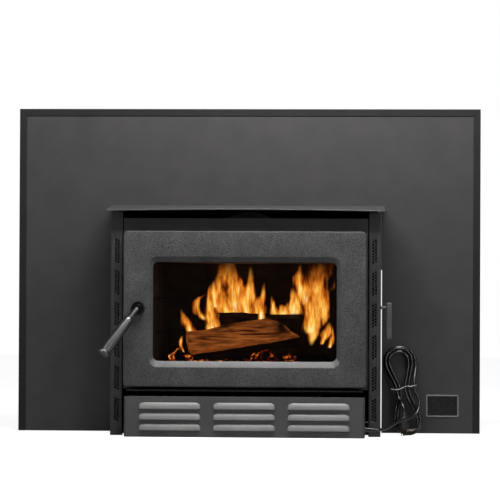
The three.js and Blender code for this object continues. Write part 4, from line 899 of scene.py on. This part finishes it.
# Each flame: how far back it burns, then its spine from foot to tip as (x, z, half width).
FLAMES = [
    (176, (-32, 228, 30), (-34, 270, 46), (-42, 300, 54), (-48, 330, 62), (-50, 362, 50),
     (-57, 386, 38), (-60, 404, 26), (-54, 424, 17)),
    (170, (-12, 228, 22), (-14, 270, 34), (-11, 304, 36), (-11, 336, 28), (-7, 362, 15),
     (-3, 386, 8), (-4, 408, 3)),
    (166, (-48, 228, 20), (-50, 268, 34), (-62, 290, 34), (-74, 314, 30), (-80, 344, 20),
     (-84, 372, 12), (-80, 398, 5)),
    (40, (-70, 238, 9), (-82, 262, 25), (-94, 292, 24), (-98, 320, 15), (-99, 342, 7), (-90, 368, 3)),
    (34, (-124, 210, 5), (-136, 234, 17), (-150, 258, 17), (-160, 280, 10), (-168, 302, 3)),
    (80, (-112, 270, 10), (-126, 294, 18), (-129, 314, 20), (-120, 328, 15), (-102, 338, 6)),
    (58, (30, 252, 7), (30, 272, 12), (28, 288, 9), (29, 316, 14), (34, 340, 10), (36, 368, 3)),
    (168, (14, 228, 15), (14, 276, 26), (7, 312, 26), (2, 338, 12), (0, 356, 3)),
    (118, (62, 284, 32), (56, 300, 14), (51, 318, 6), (51, 334, 2)),
    (122, (108, 284, 50), (106, 304, 30), (105, 328, 11), (103, 354, 3)),
    (112, (82, 285, 28), (80, 298, 14), (77, 312, 4)),
    (96, (150, 208, 5), (158, 246, 22), (166, 298, 40), (165, 330, 42), (164, 362, 44), (168, 388, 40),
     (172, 424, 36)),
    (104, (146, 296, 20), (130, 338, 26), (118, 372, 18), (122, 412, 8)),
    (88, (150, 236, 22), (150, 274, 28), (146, 306, 22), (150, 336, 10)),
    (60, (196, 204, 8), (201, 222, 9), (203, 240, 6), (202, 262, 2)),
    (70, (176, 212, 9), (188, 240, 15), (194, 270, 4)),
    (52, (-160, 192, 5), (-168, 212, 9), (-164, 236, 3)),
    (30, (-19, 242, 4.5), (-18, 266, 2)),
    (30, (-3, 246, 5), (-2, 270, 2)),
    (30, (32, 238, 5), (33, 268, 4), (31, 292, 2)),
    (62, (-88, 234, 20), (-92, 262, 24), (-96, 292, 12), (-98, 312, 3)),
    (84, (-84, 300, 24), (-88, 326, 26), (-92, 346, 16), (-88, 372, 6)),
]


def burning():
    """Flames as thin upright sheets, each swept up its own wavering spine."""
    for number, (depth, *spine) in enumerate(FLAMES):
        rows = smooth_run([(x, depth, z) for x, z, _ in spine], 3)
        widths = smooth_run([(half, 0, z) for _, z, half in spine], 3)
        bm = bmesh.new()
        uv = bm.loops.layers.uv.verify()
        columns, last = 12, len(rows) - 1
        net, place = [], {}
        for i, centre in enumerate(rows):
            half = max(widths[min(i, len(widths) - 1)].x, 0.3)
            line = []
            for k in range(columns + 1):
                side = 2 * k / columns - 1
                vert = bm.verts.new(Vector((centre.x + side * half,
                                            depth - 6 * (1 - side * side), centre.z)) * MM)
                place[vert] = (k / columns, i / last)
                line.append(vert)
            net.append(line)
        for low, high in zip(net, net[1:]):
            for a, b, c, d in zip(low, low[1:], high[1:], high):
                for loop in bm.faces.new((a, b, c, d)).loops:
                    loop[uv].uv = place[loop.vert]
        mesh = bpy.data.meshes.new(f"flame_{number}")
        bm.to_mesh(mesh)
        bm.free()
        settle(bpy.data.objects.new(mesh.name, mesh), "flame", "root")


ASH_DEPTH = 20                   # mean, millimetres
# Coals that have rolled in front of the logs: centre and radius, millimetres.
COALS = [(18, 44, 178, 16), (42, 40, 184, 18), (66, 44, 180, 15), (88, 40, 184, 17), (108, 44, 176, 13),
         (54, 36, 172, 17), (-150, 48, 180, 14), (-172, 52, 186, 15), (-184, 60, 178, 13)]


def ember_bed():
    """Ash and coals heaped on the floor bricks under the logs."""
    _, floor_top = mm_box("brick_floor")
    bm = bmesh.new()
    for v in bmesh.ops.create_grid(bm, x_segments=110, y_segments=60, size=1)["verts"]:
        x, y = v.co.x * 190, 50 + v.co.y * 110
        edge = max(0, 1 - abs(v.co.x) ** 4) * max(0, 1 - abs(v.co.y) ** 4)
        mounds = 9 * noise.noise(Vector((x / 40, y / 40, 3)))
        lumps = 6 * noise.noise(Vector((x / 12, y / 12, 8)))
        heap = ASH_DEPTH + mounds + lumps
        v.co = Vector((x, y, floor_top[2] + 0.5 + heap * edge)) * MM
    for x, y, z, r in COALS:
        lump = bmesh.ops.create_icosphere(bm, subdivisions=3, radius=r * MM,
                                          matrix=Matrix.Translation(Vector((x, y, z)) * MM))
        for v in lump["verts"]:
            v.co *= 1 + 0.03 * noise.noise(v.co * 90)
    return piece("ember_bed", bm, "ember", "root")


# ---------- what stays from the model, with its finish ----------
STEEL = ["air_tube_front", "air_tube_middle", "air_tube_back", "bracket_left", "bracket_right",
         "hinge_lug_bottom", "hinge_lug_top", "hinge_pin_bottom", "hinge_pin_top", "latch_shaft",
         "latch_cam", "latch_catch", "glass_retainer", "damper_rod", "damper_slide", "blower_motor",
         "blower_shaft", "blower_wheel_left", "blower_wheel_right", "blower_casing_left",
         "blower_casing_right"]
# The jacket's near-black paint is painted shade, seen through the columns' holes.
KEPT = {"base_plate": "body_paint", "outer_jacket": "jacket_painted_shade", "firebox_shell": "cast_paint",
        "flue_collar": "cast_paint", "baffle_board": "brick", "door_glass": "glass",
        **{node: "steel" for node in STEEL}}


def finish_kept_nodes():
    for node, material in KEPT.items():
        source = frame["nodes"][node]
        if source.material_slots:
            for place in source.material_slots:
                place.material = MATERIALS[material]
        else:
            source.data.materials.append(MATERIALS[material])


# ---------- room: floor, backdrop and light ----------
def stage_material(name, colour):
    """Matt white board. The camera sees it brighter than it lights the room, so it reads white."""
    material = bpy.data.materials.new(name)
    material.use_nodes = True
    tree = material.node_tree
    tree.nodes.clear()
    board = add(tree, "ShaderNodeBsdfDiffuse", {"Color": linear(colour)}).outputs[0]
    seen = add(tree, "ShaderNodeLightPath").outputs["Is Camera Ray"]
    lift = add(tree, "ShaderNodeEmission", {
        "Color": [1, 1, 1, 1], "Strength": maths(tree, "MULTIPLY", seen, 0.9)}).outputs[0]
    both = add(tree, "ShaderNodeAddShader", {0: board, 1: lift}).outputs[0]
    add(tree, "ShaderNodeOutputMaterial", {"Surface": both})
    return material


def make_floor():
    bm = bmesh.new()
    bmesh.ops.create_grid(bm, x_segments=1, y_segments=1, size=6)
    mesh = bpy.data.meshes.new("floor")
    bm.to_mesh(mesh)
    bm.free()
    floor = bpy.data.objects.new("floor", mesh)
    bpy.context.scene.collection.objects.link(floor)
    mesh.materials.append(stage_material("floor_board", "#c8c8c8"))


def make_world():
    """Even, soft room light; the camera and glass see plain white."""
    world = bpy.data.worlds.new("studio")
    bpy.context.scene.world = world
    world.use_nodes = True
    tree = world.node_tree
    tree.nodes.clear()
    path = add(tree, "ShaderNodeLightPath")
    seen = maths(tree, "MAXIMUM", path.outputs["Is Camera Ray"], path.outputs["Is Transmission Ray"])
    room = add(tree, "ShaderNodeBackground", {"Color": [1, 1, 1, 1], "Strength": 0.1}).outputs[0]
    white = add(tree, "ShaderNodeBackground", {"Color": [1, 1, 1, 1], "Strength": 1.0}).outputs[0]
    mixed = add(tree, "ShaderNodeMixShader", {0: seen, 1: room, 2: white}).outputs[0]
    add(tree, "ShaderNodeOutputWorld", {"Surface": mixed})


# Each lamp: its place, what it points at, its two sides, its watts, and whether it only adds shine.
LAMPS = {
    "overhead_soft_box": ((0.1, -0.64, 1.38), (0.04, -0.05, 0.45), (1.0, 0.35), 20, False),
    "handle_strip": ((-1.3, -1.0, 1.0), (-0.3, -0.25, 0.25), (0.25, 0.9), 8, True),
    "cord_strip": ((1.1, -1.2, 1.1), (0.45, -0.05, 0.15), (0.1, 0.8), 4, True),
    "front_lamp": ((1.3, -3.0, 0.9), (0.1, -0.1, 0.3), (0.5, 0.5), 8, False),
    "left_strip": ((-1.9, -2.6, 1.5), (-0.1, -0.2, 0.3), (0.4, 1.6), 2, False),
}


def soft_box(name, place, target, size, power, shine_only):
    data = bpy.data.lights.new(name, "AREA")
    data.shape = "RECTANGLE"
    data.size, data.size_y = size
    data.energy = power
    lamp = bpy.data.objects.new(name, data)
    bpy.context.scene.collection.objects.link(lamp)
    place, target = Vector(place), Vector(target)
    lamp.location = place
    lamp.rotation_euler = (target - place).to_track_quat("-Z", "Y").to_euler()
    lamp.visible_camera = False
    lamp.visible_diffuse = not shine_only


# ---------- assembly ----------
def build():
    make_camera()
    make_world()
    make_floor()
    for name, values in LAMPS.items():
        soft_box(name, *values)
    bpy.context.scene.view_settings.view_transform = "Standard"

    declare_cord()
    finish_kept_nodes()

    dressed("surround_panel", "panel_paint", 0.8)
    for node in ("trim_left", "trim_right", "trim_top"):
        dressed(node, "trim_paint", 0.7)
    dressed("badge_rim", "badge_silver", 0.6)
    dressed("badge_plate", "badge_black", 0.4)
    top_shelf()
    column("column_left", -1)
    column("column_right", 1)
    dressed("firebox_front", "body_paint", 0.8)
    # The deflector's light paint is a painted highlight.
    dressed("flue_deflector", "deflector_painted_highlight", 0.8)
    dressed("ash_ledge", "trim_paint", 1.0)
    blower_box()
    louvres()
    cast_door()
    dressed("door_seal", "rope", 3.5, 4)
    handle()
    # The lever's lighter paint is painted light.
    dressed("damper_lever", "lever_painted_light", 2.2, 4)

    bricked("brick_floor", (0, 1), (4, 5))
    bricked("brick_back", (0, 2), (4, 3))
    bricked("brick_left", (1, 2), (4, 3))
    bricked("brick_right", (1, 2), (4, 3))
    split_log_piece("log_base", 0, "charred_log")
    split_log_piece("log_front", 7.3, "log")
    split_log_piece("log_back", 14.6, "charred_log")
    ember_bed()
    burning()


build()
